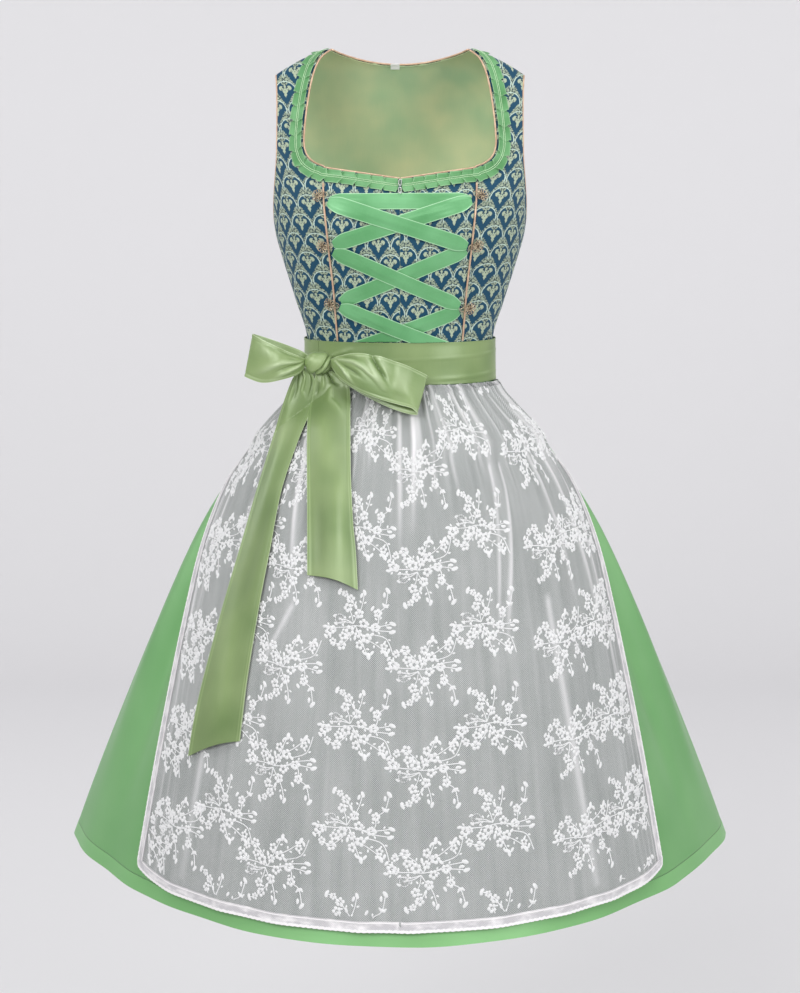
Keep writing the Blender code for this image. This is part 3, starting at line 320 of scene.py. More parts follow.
# One material and the nodes that make it.
class Recipe:
    def __init__(self, name, colour, roughness, **fixed):
        self.material = bpy.data.materials.new(name)
        self.material.use_nodes = True
        self.material.diffuse_color = (*colour, 1)
        self.tree = self.material.node_tree
        self.shader = self.tree.nodes["Principled BSDF"]
        self.shader.inputs["Base Color"].default_value = (*colour, 1)
        self.shader.inputs["Roughness"].default_value = roughness
        for socket, value in fixed.items():
            self.shader.inputs[socket.replace("_", " ")].default_value = value

    def node(self, kind, settings=None, inputs=None, output=0):
        node = self.tree.nodes.new(kind)
        for key, value in (settings or {}).items():
            setattr(node, key, value)
        for key, value in (inputs or {}).items():
            if isinstance(value, Wire):
                self.tree.links.new(value.socket, node.inputs[key])
            else:
                node.inputs[key].default_value = value
        return Wire(self, node.outputs[output])

    def math(self, operation, *values):
        return self.node("ShaderNodeMath", {"operation": operation}, dict(enumerate(values)))

    def mix(self, share, first, second, blend="MIX"):
        settings = {"data_type": "RGBA", "blend_type": blend}
        first = first if isinstance(first, Wire) else (*first, 1)
        second = second if isinstance(second, Wire) else (*second, 1)
        return self.node("ShaderNodeMix", settings, {0: share, 6: first, 7: second}, output=2)

    def noise(self, place, scale, detail=2.0, roughness=0.5):
        inputs = {"Vector": place, "Scale": scale, "Detail": detail, "Roughness": roughness}
        return self.node("ShaderNodeTexNoise", {}, inputs)

    def objectPlace(self):
        return self.node("ShaderNodeTexCoord", output=3)

    def cutPlace(self):
        return self.node("ShaderNodeUVMap", {"uv_map": "cut"})

    def mark(self):
        return self.node("ShaderNodeAttribute", {"attribute_name": "mark"}, output=2)

    def stretched(self, place, x, y, z=1.0):
        return self.node("ShaderNodeMapping", {}, {"Vector": place, "Scale": (x, y, z)})

    def parts(self, place):
        split = self.tree.nodes.new("ShaderNodeSeparateXYZ")
        self.tree.links.new(place.socket, split.inputs[0])
        return [Wire(self, socket) for socket in split.outputs]

    def feed(self, socket, wire):
        self.tree.links.new(wire.socket, self.shader.inputs[socket])

    def bump(self, height, distance, strength=1.0):
        inputs = {"Height": height, "Distance": distance, "Strength": strength}
        self.feed("Normal", self.node("ShaderNodeBump", {}, inputs))


def shade(red, green, blue):
    channels = []
    for value in (red, green, blue):
        share = value / 255
        channels.append(share / 12.92 if share <= 0.04045 else ((share + 0.055) / 1.055) ** 2.4)
    return tuple(channels)


# Satin: glossy thread with soft long wrinkles and a faint grain. A line of sewing may lie
# across it at a place down its cut. A mark above 0 is paler: real pale selvedges, and painted
# highlight on fold crests and pleat edges. A mark below 0 is darker: painted shade in fold
# valleys, pleat tucks and over the bow's tails.
def satin(name, deep, light, roughness, metal, wrinkle, scale, seam=None, edge=None, shine=0.5):
    middle = tuple((low + high) / 2 for low, high in zip(deep, light))
    fixed = {"Sheen_Weight": 0.06, "Sheen_Roughness": 0.4, "Specular_IOR_Level": shine, "Metallic": metal}
    recipe = Recipe(name, middle, roughness, **fixed)
    place = recipe.objectPlace()
    cut = recipe.cutPlace()
    clouds = (recipe.noise(place, scale * 0.7, 2) * 1.8 - 0.4).clamp()
    grain = recipe.noise(place, 1400, 2)
    slubs = recipe.noise(recipe.stretched(cut, 700, 60), 1, 2)
    tone = (clouds * 0.95 + grain * 0.18 + slubs * 0.16 - 0.17).clamp()
    colour = recipe.mix(tone, deep, light)
    soft = recipe.noise(place, scale, 1, 0.4)
    height = soft + grain * 0.02
    if edge:
        mark = recipe.mark()
        # a mark above 0 pales towards the edge colour: real selvedges, and painted highlight on crests and pleat
        # edges
        colour = recipe.mix(mark.clamp(), colour, edge)
        # a mark below 0 is painted shade, darkening towards a deep shade
        colour = recipe.mix((-mark).clamp(), colour, tuple(value * 0.4 for value in deep))
    if seam:
        across, along, _ = recipe.parts(cut)
        if seam > 0.5:
            colour = recipe.mix((-along).under(-seam, 0.0010) * 0.35, colour, tuple(value * 1.35 for value in light))
        line = abs(along - seam).under(0.0006, 0.0007)
        pucker = recipe.noise(recipe.stretched(cut, 160, 1), 1, 2)
        near = abs(along - seam).under(0.0060, 0.0080)
        colour = recipe.mix(line * 0.55, colour, tuple(value * 0.35 for value in deep))
        height = height - line * 0.5 + near * pucker * 0.25
    recipe.feed("Base Color", colour)
    recipe.feed("Roughness", (clouds * 0.10 + grain * 0.06 + (roughness - 0.08)).clamp())
    recipe.bump(height, wrinkle)
    return recipe.material


skirtDrop = 0.675
# Each satin: deep and light colour, roughness, metal, depth and closeness of its wrinkles.
satinPlan = {
    # sageSatin's edge colour: pale selvedges, and painted highlight on the bow's fold crests
    "sageSatin": (
        (110, 138, 80), (150, 172, 114), 0.42, 0.10, 0.0003, 20, {"edge": shade(208, 224, 184), "shine": 0.9}
    ),
    "skirtSatin": ((108, 168, 102), (130, 184, 122), 0.42, 0.14, 0.0010, 12, {"seam": skirtDrop - 0.0182}),
    "liningSatin": ((160, 192, 150), (212, 214, 166), 0.46, 0.04, 0.0009, 24, {"seam": 0.0085}),
    "laceRibbon": ((88, 158, 98), (122, 188, 132), 0.38, 0.14, 0.0005, 30, {"edge": shade(190, 236, 192)}),
    # rucheRibbon's edge colour: pale selvedges, and painted highlight on its pleat edges
    "rucheRibbon": ((80, 142, 84), (118, 176, 120), 0.42, 0.12, 0.0006, 60, {"edge": shade(190, 230, 184)}),
    "pipingSatin": ((196, 156, 128), (232, 202, 174), 0.36, 0.25, 0.0005, 160, {}),
}
sageSatin, skirtSatin, liningSatin, laceRibbon, rucheRibbon, pipingSatin = [
    satin(name, shade(*deep), shade(*light), *sizes, **extra)
    for name, (deep, light, *sizes, extra) in satinPlan.items()
]


# Soft white cotton of the size label.
def labelRecipe():
    recipe = Recipe("labelCloth", shade(252, 252, 251), 0.7, Sheen_Weight=0.1)
    cut = recipe.cutPlace()
    across, along, _ = recipe.parts(cut)
    weave = (across * 9000).sine() * (along * 9000).sine()
    grain = recipe.noise(recipe.objectPlace(), 400, 2)
    recipe.feed("Base Color", recipe.mix(grain, shade(250, 250, 250), shade(255, 255, 255)))
    recipe.bump(weave * 0.3 + grain, 0.0002)
    return recipe.material


# Antique copper with dark hollows and rubbed edges.
def copperRecipe(name, brightShare):
    recipe = Recipe(name, shade(180, 156, 136), 0.36, Specular_IOR_Level=0.6)
    place = recipe.objectPlace()
    tarnish = recipe.noise(place, 520, 3, 0.6)
    pits = recipe.noise(place, 900, 2)
    rubbed = (tarnish * 3.4 + brightShare).clamp()
    dark = recipe.mix(pits, shade(52, 42, 30), shade(96, 78, 58))
    bright = recipe.mix(pits, shade(206, 184, 150), shade(246, 230, 200))
    recipe.feed("Base Color", recipe.mix(rubbed, dark, bright))
    recipe.feed("Roughness", 0.46 - rubbed * 0.18)
    recipe.feed("Metallic", 0.20 + rubbed * 0.15)
    recipe.bump(tarnish * 0.6 + pits * 0.4, 0.0002)
    return recipe.material


def closureRecipe():
    recipe = Recipe("closureMetal", shade(214, 214, 214), 0.28, Metallic=0.8)
    place = recipe.objectPlace()
    wear = recipe.noise(place, 700, 3)
    recipe.feed("Base Color", recipe.mix(wear, shade(186, 186, 190), shade(244, 244, 244)))
    recipe.feed("Roughness", wear * 0.25 + 0.2)
    recipe.bump(wear, 0.0001)
    return recipe.material


# Fine net over a grey lining: slanting meshes, cloudy where the skirt shows through.
netPlan = {
    "mesh": 0.0024, "shadow": shade(122, 129, 126), "middle": shade(170, 173, 172),
    "thread": shade(246, 246, 247), "doubled": shade(250, 248, 250),
}


def netThreads(recipe, across, along):
    turn = math.pi / netPlan["mesh"]
    rising = abs(((across + along) * turn).sine())
    falling = abs(((across - along) * turn).sine())
    return 1 - (rising.least(falling) * 2.3).clamp()


def netRecipe():
    recipe = Recipe("apronNet", netPlan["middle"], 0.75, Sheen_Weight=0.08, Specular_IOR_Level=0.2)
    cut = recipe.cutPlace()
    across, along, _ = recipe.parts(cut)
    threads = netThreads(recipe, across, along)
    clouds = recipe.noise(cut, 11, 3)
    streaks = recipe.noise(recipe.stretched(cut, 85, 5), 1, 3)
    body = (clouds * 1.0 + streaks * 1.3 - 0.68).clamp()
    mark = recipe.mark()
    ground = recipe.mix(body, netPlan["shadow"], netPlan["middle"])
    netted = recipe.mix(threads * 0.85, ground, netPlan["thread"])
    recipe.feed("Base Color", recipe.mix(mark.clamp(), netted, netPlan["doubled"]))
    recipe.bump(threads * 0.7 + streaks * 0.3, 0.0004)
    return recipe.material


# Embroidery in matt white thread.
def threadRecipe(name, deep, light, pitch):
    recipe = Recipe(name, light, 0.62, Sheen_Weight=0.1, Specular_IOR_Level=0.3)
    place = recipe.objectPlace()
    x, y, z = recipe.parts(place)
    twist = ((x + y * 0.4 + z * 0.9) * (math.tau / pitch)).sine()
    grain = recipe.noise(place, 700, 2)
    recipe.feed("Base Color", recipe.mix((grain * 1.1 + twist * 0.22 - 0.1).clamp(), deep, light))
    recipe.bump(twist * 0.5 + grain * 0.5, 0.0002)
    return recipe.material


# Woven edge of the apron: a dense scalloped lip, open net behind it and a thin inner line.
def edgeRecipe():
    recipe = Recipe("laceEdge", shade(238, 234, 234), 0.65, Sheen_Weight=0.1, Specular_IOR_Level=0.25)
    cut = recipe.cutPlace()
    along, across, _ = recipe.parts(cut)
    uneven = recipe.noise(recipe.stretched(cut, 260, 1), 1, 3) * 0.0030
    lip = across.under(uneven + 0.0012, 0.0010)
    line = abs(across - 0.0096 - uneven * 0.3).under(0.0006, 0.0006)
    threads = netThreads(recipe, along, across)
    patches = recipe.noise(recipe.stretched(cut, 60, 120), 1, 3)
    dense = lip.most(line).most((patches * 3.0 - 1.3).clamp())
    cover = (dense * 0.8 + threads * 0.3 + 0.1).clamp()
    recipe.feed("Base Color", recipe.mix(cover, shade(186, 184, 188), shade(252, 249, 250)))
    recipe.bump(dense * 0.6 + threads * 0.4, 0.0004)
    return recipe.material


labelCloth = labelRecipe()
antiqueCopper = copperRecipe("antiqueCopper", -1.15)
# Nearly all dark: for the hook bosses, and for flat discs of painted shade under the hook wires.
copperBossAndShadeDisc = copperRecipe("copperBossAndShadeDisc", -2.2)
closureMetal = closureRecipe()
apronNet = netRecipe()
laceEdge = edgeRecipe()
laceThread = threadRecipe("laceThread", shade(246, 246, 248), shade(255, 255, 255), 0.0007)
stitchThread = threadRecipe("stitchThread", shade(196, 236, 188), shade(224, 248, 210), 0.0006)


# Damask of blue hearts in ogee rings: a cream flower in each heart, sage leaves between
# the rings. x runs round the body and y down it in metres of cut cloth, and the hearts
# stand in staggered rows.
damaskPlan = {
    "period": 28.2, "rowStep": 22.8, "blue": shade(12, 70, 98), "blueDeep": shade(12, 42, 62),
    "ground": shade(14, 48, 66), "sage": shade(136, 150, 132), "cream": shade(184, 198, 170),
    "line": shade(208, 230, 218), "silver": shade(120, 152, 160),
}


def damaskRecipe():
    recipe = Recipe("brocade", damaskPlan["blue"], 0.55, Specular_IOR_Level=0.25)
    cut = recipe.cutPlace()
    across, down, _ = recipe.parts(cut)
    across = across * 1000 + (recipe.noise(cut, 420, 2) - 0.5) * 1.6  # millimetres
    down = down * 1000 + (recipe.noise(recipe.stretched(cut, -1, 1), 420, 2) - 0.5) * 1.6
    period, step = damaskPlan["period"], damaskPlan["rowStep"]
    side = abs((across + period / 2) % period - period / 2)  # from a heart's centre line
    rise = step - (down % (2 * step))  # above this heart's middle
    otherSide = abs(across % period - period / 2)
    otherRise = step - ((down + step) % (2 * step))
    heart, ring, cream, dark, moat = [
        first.most(second)
        for first, second in zip(heartMotif(recipe, side, rise), heartMotif(recipe, otherSide, otherRise))
    ]
    middle = side.least(otherSide)
    upward = abs(((middle * 0.9 + rise) / 5.75) % 1 - 0.5)
    downward = abs(((middle * 0.9 - rise) / 5.75) % 1 - 0.5)
    broken = recipe.noise(recipe.stretched(cut, -1, 1), 420, 1)
    leaves = (upward.least(downward) * 5.0 + (broken - 0.5) * 3.4 + 0.22 - moat * 1.4).clamp()
    weave = recipe.noise(recipe.stretched(cut, 2600, 1100), 1, 2)
    ribs = (down * (math.tau / 0.85)).sine() * 0.5 + 0.5
    figure = recipe.mix((broken * 2.4 - 0.7).clamp(), damaskPlan["sage"], damaskPlan["cream"])
    cloth = recipe.mix(leaves, damaskPlan["ground"], figure)
    cloth = recipe.mix(heart, cloth, damaskPlan["blue"])
    cloth = recipe.mix(cream, cloth, damaskPlan["cream"])
    cloth = recipe.mix(dark, cloth, damaskPlan["blueDeep"])
    cloth = recipe.mix(ring, cloth, damaskPlan["line"])
    cloth = recipe.mix(ribs * 0.10, cloth, damaskPlan["blueDeep"])
    cloth = recipe.mix((weave * 1.6 - 0.6).clamp() * 0.16, cloth, damaskPlan["silver"])
    recipe.feed("Base Color", cloth)
    raised = ring.most(cream).most(leaves * (1 - heart) * 0.7)
    recipe.feed("Roughness", 0.56 - raised * 0.16)
    recipe.bump(raised * 0.7 + ribs * 0.2 + weave * 0.2, 0.00035)
    return recipe.material


# Shares of heart, ring, cream flower and dark lines at a place beside and above a heart's
# middle, in millimetres.
def heartMotif(recipe, side, rise):
    def farFrom(x, y):
        return ((side - x) * (side - x) + (rise - y) * (rise - y)) ** 0.5

    lobe = farFrom(5.6, 1.7)
    taper = side - (rise + 18.2) * 0.66
    teeth = (abs((rise / 2.3) % 1 - 0.5) - 0.25) * 2.6
    below = (taper + teeth).under(0.0, 0.7) * rise.under(1.6, 0.6) * side.under(11.9, 0.6)
    heart = lobe.under(6.3, 0.7).most(below)
    around = farFrom(0.0, -1.2)
    notch = (side - (rise - 4.6) * 0.85).under(0.0, 0.7)
    heart = heart.most(around.under(12.4, 0.6) * (-rise).under(2.5, 1.0)) * (1 - notch)
    ring = abs(around - 12.9).under(0.50, 0.5) * (-rise).under(5.0, 2.0)
    flower = farFrom(4.7, 3.3).under(2.9, 0.6)
    flower = flower.most((side * 1.1 + abs(rise + 0.4) * 0.9).under(4.0, 0.6))
    flower = flower.most((side * 1.9 + abs(rise + 4.6)).under(3.7, 0.6))
    flower = flower.most((side * 1.5 + abs(rise - 5.2)).under(2.4, 0.6))
    dark = farFrom(2.6, 4.4).under(1.0, 0.5).most((side * 1.4 + abs(rise - 0.6)).under(0.9, 0.5))
    dark = dark.most((abs(side - 4.9 + rise * 0.3) + abs(rise - 1.6) * 0.5).under(0.8, 0.5) * 0.7)
    moat = abs(around - 13.8).under(0.25, 0.4) + notch * abs(side - 1.6).under(0.4, 0.5)
    return heart, ring, flower, dark, moat * 0.6


brocade = damaskRecipe()
print("materials ready")

# Level sections of the bodice: height, half width, depth in front, depth behind, squareness.
torsoRows = sized([tenth, tenth, tenth, tenth, 0.01], [
    (0, 1600, 5, 5, 240), (-20, 1600, 100, 120, 240), (-100, 1600, 260, 320, 240), (-220, 1600, 380, 480, 240),
    (-500, 1600, 580, 680, 240), (-1000, 1600, 790, 870, 240), (-1500, 1580, 1010, 980, 235),
    (-2000, 1545, 1180, 1030, 225), (-2180, 1525, 1175, 1020, 220), (-2540, 1430, 1110, 970, 220),
    (-3030, 1280, 960, 870, 220), (-3500, 1145, 850, 790, 220), (-4000, 1125, 830, 770, 220),
])

# Rows of the side front and its strap: neck or princess edge x and z, armhole edge x and z
# (x 0 at the side seam), share of the shoulder's curve kept, height at centre back.
panelRows = sized([tenth, tenth, tenth, tenth, 0.01, tenth], [
    (840, -10, 1490, -310, 100, -178), (870, -32, 1488, -330, 100, -200), (960, -110, 1478, -420, 80, -300),
    (1030, -250, 1472, -560, 50, -430), (1080, -440, 1468, -730, 20, -610), (1115, -660, 1468, -920, 0, -830),
    (1145, -920, 1470, -1120, 0, -1070), (1155, -1130, 1476, -1320, 0, -1300),
    (1135, -1240, 1490, -1480, 0, -1480), (1085, -1325, 1504, -1620, 0, -1620),
    (995, -1390, 1518, -1760, 0, -1760), (895, -1437, 1529, -1900, 0, -1900),
    (893, -1570, 1534, -2040, 0, -2040), (888, -1730, 0, -2150, 0, -2150), (872, -1930, 0, -2290, 0, -2290),
    (846, -2200, 0, -2480, 0, -2480), (818, -2500, 0, -2700, 0, -2700), (784, -2850, 0, -2960, 0, -2960),
    (758, -3250, 0, -3270, 0, -3270), (741, -3500, 0, -3500, 0, -3500), (730, -3720, 0, -3720, 0, -3720),
])
bodicePlan = {
    "wall": 0.0018, "backWall": 0.0014, "liningWall": 0.0010, "neckHalfWidth": 0.084, "backNeckDrop": 0.0178,
    "centreNeckDrop": 0.1565, "shoulderStart": 0.075, "shoulderRun": 0.077, "shoulderDrop": 0.033,
    "shoulderFade": 0.120, "bustX": 0.080, "bustHeight": -0.205, "bustRise": 0.012, "bustSpreadX": 0.035,
    "bustSpreadZ": 0.055, "princessTop": 11, "underarm": 13,
}
lastRow = len(panelRows) - 1
torsoAt = byHeight(torsoRows)


def shoulderLine(x):
    past = np.maximum(np.abs(x) - bodicePlan["shoulderStart"], 0) / bodicePlan["shoulderRun"]
    return -bodicePlan["shoulderDrop"] * past**1.6


def xAt(turn, height):
    halfWidth, _, _, squareness = torsoAt(height)
    return halfWidth * signedPower(np.sin(turn), 2 / squareness)


def turnAt(x, height):
    halfWidth, _, _, squareness = torsoAt(height)
    return np.arcsin(np.minimum(np.abs(x) / halfWidth, 1) ** (squareness / 2))


# Point of the bodice at a turn from centre front or back round to the side seam.
def torsoSpot(side, turn, height):
    squareness = torsoAt(height)[3]
    x = xAt(turn, height)
    line = shoulderLine(x)
    raised = line * (1 - ease((line - height) / bodicePlan["shoulderFade"]))
    _, inFront, behind, _ = torsoAt(np.minimum(height - raised, 0))
    y = (inFront if side == frontSide else behind) * signedPower(np.cos(turn), 2 / squareness)
    if side == frontSide:
        across = (np.abs(x) - bodicePlan["bustX"]) / bodicePlan["bustSpreadX"]
        along = (height - bodicePlan["bustHeight"]) / bodicePlan["bustSpreadZ"]
        y = y + bodicePlan["bustRise"] * np.exp(-(across**2) - along**2)
    return joined(x, side * (y + seamGap / 2), height)


def frontSpot(x, height):
    spots = torsoSpot(frontSide, turnAt(x, height), height)
    spots[..., 0] *= np.where(x < 0, -1, 1)
    return spots


def frontNormal(x, height, small=0.0005):
    across = frontSpot(x + small, height) - frontSpot(x - small, height)
    up = frontSpot(x, height) - frontSpot(x, height - small)
    return unit(np.cross(across, up))


def panelTable():
    rows = []
    for innerX, innerZ, outerX, outerZ, follow, backZ in panelRows:
        outerTurn = math.pi / 2 if outerX == 0 else float(turnAt(outerX, outerZ))
        edgeX = float(torsoAt(outerZ)[0]) if outerX == 0 else outerX
        innerTurn = float(turnAt(innerX, innerZ))
        lines = float(shoulderLine(innerX)), float(shoulderLine(edgeX))
        rows.append((innerTurn, innerZ, outerTurn, outerZ, follow, *lines, backZ, edgeX))
    return smoothCurve(range(len(rows)), rows)


panelAt = panelTable()


# Side front with its strap: u from the neck or princess edge, v from the shoulder down.
def sideFront(u, v):
    innerTurn, innerZ, outerTurn, outerZ, follow, lineIn, lineOut, _, _ = panelAt(v * lastRow)
    turn = lerp(innerTurn, outerTurn, u)
    height = lerp(innerZ, outerZ, u)
    height = height + follow * (shoulderLine(xAt(turn, height)) - lerp(lineIn, lineOut, u))
    return torsoSpot(frontSide, turn, height)


# Centre front: u from the closing edge to the princess seam, v from the neck to the waist.
def centreFront(u, v):
    top = bodicePlan["princessTop"]
    innerTurn, innerZ = panelAt(top + v * (lastRow - top))[:2]
    topZ = panelRows[top][1]
    centreZ = lerp(-bodicePlan["centreNeckDrop"], waist, (topZ - innerZ) / (topZ - waist))
    height = lerp(centreZ, innerZ, u)
    x = lerp(seamGap / 2, xAt(innerTurn, innerZ) - seamGap, u)
    return torsoSpot(frontSide, turnAt(x, height), height)


def backTop(x):
    neck = bodicePlan["neckHalfWidth"]
    dip = lerp(-bodicePlan["backNeckDrop"], shoulderLine(neck), (x / neck) ** 2)
    return np.where(np.abs(x) < neck, dip, shoulderLine(x))


# Half of the back: u from the centre to the armhole or side seam.
def backHalf(u, v):
    _, _, outerTurn, outerZ, follow, _, _, centreZ, edgeX = panelAt(v * lastRow)
    turn = outerTurn * u
    x = xAt(turn, lerp(centreZ, outerZ, u))
    share = x / edgeX
    shape = backTop(x) - lerp(backTop(0), backTop(edgeX), share)
    return torsoSpot(backSide, turn, lerp(centreZ, outerZ, share) + follow * shape)


def wholeBack(u, v):
    spots = backHalf(np.abs(2 * u - 1), v)
    spots[..., 0] *= np.where(u < 0.5, -1, 1)
    return spots


# Length round the body from its centre line, for the run of the woven pattern.
def girthTable(side, heights, turns):
    table = np.zeros((len(heights), len(turns), 1))
    for index, height in enumerate(heights):
        ring = torsoSpot(side, turns, np.full(len(turns), height))
        table[index, 1:, 0] = np.cumsum(np.linalg.norm(np.diff(ring[:, :2], axis=0), axis=1))
    return table


def weaveCut(side, surface, start=(0.0253, 0.0131), slant=0.0, seam=1.0):
    heights = np.linspace(-0.02, -0.38, 90)
    table = girthTable(side, heights, np.linspace(0, math.pi / 2, 90))

    def cut(u, v):
        spots = surface(u, v)
        turn = turnAt(spots[:, 0], spots[:, 2])
        down = (heights[0] - spots[:, 2]) / (heights[0] - heights[-1])
        girth = tableAt(table, down, turn / (math.pi / 2))[:, 0]
        sign = np.sign(spots[:, 0] + 1e-9)
        past = np.maximum(girth - seam, 0)  # cloth eased in beside the princess seam
        girth = np.where(past > 0, seam + past * (0.62 + 1.6 * past), girth)
        return sign * (girth - slant * (spots[:, 2] + 0.2)) + start[0], -spots[:, 2] * 1.02 + start[1]

    return cut


def buildPanels():
    wall = bodicePlan["wall"]
    for name, flip in (("left", 1), ("right", -1)):

        def side(u, v):
            return onSide(sideFront(u, v), flip)

        def centre(u, v):
            return onSide(centreFront(u, v), flip)

        cloths = [brocade, liningSatin]
        start = (-0.0068, -0.0008) if flip > 0 else (0.0253, 0.0131)
        sideStart = (start[0] - 0.0070, start[1] + 0.0023)
        sideName, centreName = f"sideFront_{name}", f"centreFront_{name}"
        sideCut = weaveCut(frontSide, side, sideStart, 0.17, 0.090)
        sidePiece = clothSheet(sideName, 30, 100, side, -wall, 0, sideCut, cloths)
        fit(sidePiece, "brocade", f"bodice_side_front_{name}")
        centrePiece = clothSheet(centreName, 22, 54, centre, -wall, 0, weaveCut(frontSide, centre, start), cloths)
        fit(centrePiece, "brocade", f"bodice_centre_front_{name}")


liningCreases = sized([0.01, 0.01, 0.01, 0.01, 0.001, tenth, 0.1, 0.1], [
    (36, 2, 40, 12, 14, -10, 10, 0), (44, 2, 45, 9, 10, -8, 10, 0), (49, 2, 50, 16, 12, -11, 10, 0),
    (55, 2, 56, 8, 10, -7, 10, 0), (62, 2, 60, 13, 13, -10, 10, 0), (30, 30, 42, 62, 30, -14, 0, 0),
    (68, 26, 60, 58, 32, -15, 0, 0), (45, 40, 52, 75, 36, -12, 0, 0), (22, 12, 24, 34, 20, -10, 3, 0),
    (79, 12, 77, 32, 22, -11, 3, 0),
])


def buildBack():
    wall = bodicePlan["backWall"]
    piece = clothSheet("backPanel", 84, 96, wholeBack, -wall, 0, weaveCut(backSide, wholeBack), [brocade])
    fit(piece, "brocade", "bodice_back")
    outer = -wall - seamGap

    def puckered(u, v):
        return wholeBack(u, v) + unit(wholeBack(u, v) * [1, 1, 0]) * creaseRise(liningCreases, u, v)[..., None]

    lining = clothSheet(
        "backLining", 96, 100, puckered, outer - bodicePlan["liningWall"], outer, (0.43, 0.36), [liningSatin]
    )
    fit(lining, "lining_satin", "back_lining")
    buildLabel(outer - bodicePlan["liningWall"])


labelPlan = {"x": -0.0060, "halfWidth": 0.0055, "top": -0.0135, "bottom": -0.0199, "wall": 0.0006}


def buildLabel(surfaceLift):
    def face(u, v):
        height = lerp(labelPlan["top"], labelPlan["bottom"], v)
        x = labelPlan["x"] + labelPlan["halfWidth"] * (2 * u - 1)
        spots = torsoSpot(backSide, turnAt(x, height), height)
        spots[..., 0] *= np.where(x < 0, -1, 1)
        return spots

    outer = surfaceLift - 0.0012
    label = clothSheet("sizeLabel", 12, 8, face, outer - labelPlan["wall"], outer, (0.011, 0.0065), [labelCloth])
    fit(label, "label_cloth", "size_label")


buildPanels()
buildBack()
print("bodice ready")

pipingPlan = {"radius": 0.0012, "wrinkle": 0.055, "pitch": 5.3}


# Lays a cord beside an edge, level with the middle of the cloth's wall.
def besideEdge(spots, normals, inside, wall, closed=False):
    ends = np.concatenate([spots[-1:], spots, spots[:1]]) if closed else np.vstack([spots[:1], spots, spots[-1:]])
    along = unit(ends[2:] - ends[:-2])
    away = unit(np.cross(along, normals))
    away *= np.where(np.sum(away * (spots - inside), axis=1) < 0, -1, 1)[:, None]
    return spots + away * (pipingPlan["radius"] + seamGap) - normals * wall / 2


def frontEdge(count=110):
    top = bodicePlan["princessTop"] / lastRow
    v = np.linspace(0, top, count)
    u = np.linspace(0.99, 0, count * 3 // 5)
    zero, flat = np.zeros(count), np.zeros(len(u))
    spots = np.vstack([sideFront(zero, v), centreFront(u, flat)])
    inside = np.vstack([sideFront(zero + 0.3, v), centreFront(u, flat + 0.1)])
    normals = frontNormal(spots[:, 0], np.minimum(spots[:, 2], -0.002))
    return spots, normals, inside


def armholeEdge():
    under = bodicePlan["underarm"] / lastRow
    v = np.linspace(0.004, under - 0.004, 110)
    one = np.ones(len(v))
    ahead = sideFront(one, v)
    behind = backHalf(one, v[::-1])
    spots = np.vstack([ahead, behind])
    inside = np.vstack([sideFront(one - 0.12, v + 0.06), backHalf(one - 0.12, v[::-1] + 0.06)])
    _, aheadNormals = surfaceNormals(sideFront, one, v, (0, 0, -0.3))
    _, behindNormals = surfaceNormals(backHalf, one, v[::-1], (0, 0, -0.3))
    return spots, np.vstack([aheadNormals, behindNormals]), inside


def backNeckEdge():
    edge = float(turnAt(bodicePlan["neckHalfWidth"], 0.0) / panelAt(0)[2])
    u = np.linspace(-edge * 0.985, edge * 0.985, 121)
    spots = backHalf(np.abs(u), np.zeros(len(u)))
    inside = backHalf(np.abs(u), np.full(len(u), 0.05))
    _, normals = surfaceNormals(backHalf, np.abs(u), np.full(len(u), 0.004), (0, 0, -0.3))
    flip = np.where(u < 0, -1, 1)
    for group in (spots, inside, normals):
        group[:, 0] *= flip
    return spots, normals, inside


def buildPiping():
    def swell(index):
        beat = np.sin(index * math.tau / pipingPlan["pitch"]) + 0.6 * np.sin(index * 2.1 + 1)
        return 0.95 + pipingPlan["wrinkle"] * 0.6 * beat

    neck = besideEdge(*frontEdge(), bodicePlan["wall"])
    neck[:, 1] = np.minimum(neck[:, 1], -0.0012)
    neck[-1, 0] = 0.0008
    armhole = besideEdge(*armholeEdge(), bodicePlan["wall"], closed=True)
    heights = np.linspace(-0.1615, -0.3475, 70)
    edgeX = smoothCurve([-row[1] for row in panelRows], [[row[0]] for row in panelRows])
    x = edgeX(-heights)[0]
    princess = frontSpot(x, heights) + frontNormal(x, heights) * (pipingPlan["radius"] + 2 * seamGap)
    edges = {"neck": neck, "armhole": armhole, "princess": princess}
    for name, flip in (("left", 1), ("right", -1)):
        for place, path in edges.items():
            closed = place == "armhole"
            paths = [onSide(path, flip)]
            cord = wirePiece(
                f"piping_{place}_{name}_cord", paths, pipingPlan["radius"], pipingSatin, 2, closed, swell
            )
            fit(cord, "piping_satin", f"piping_{place}_{name}")
    back = besideEdge(*backNeckEdge(), bodicePlan["backWall"])
    cord = wirePiece("piping_neck_back_cord", [back], pipingPlan["radius"], pipingSatin, 2, swell=swell)
    fit(cord, "piping_satin", "piping_neck_back")


buildPiping()
print("piping ready")

# Pleats of the neck ruche from the shoulder to the centre front, in millimetres.
ruchePlan = {
    "width": 0.0165,
    "wall": 0.0006,
    "columns": 14,
    "rows": 14,
    "reach": 0.020,
    "left": (17.5, 16.0, 18.0, 16.5, 17.0, 15.5, 14.0, 13.5, 13.0, 12.0, 12.5, 11.5, 13.0, 12.0, 12.5, 11.5, 12.0),
    "right": (17.0, 18.0, 16.0, 17.5, 15.5, 16.5, 15.0, 16.0, 14.0, 15.5, 14.5, 16.0, 15.0, 15.5, 14.5, 15.5),
}


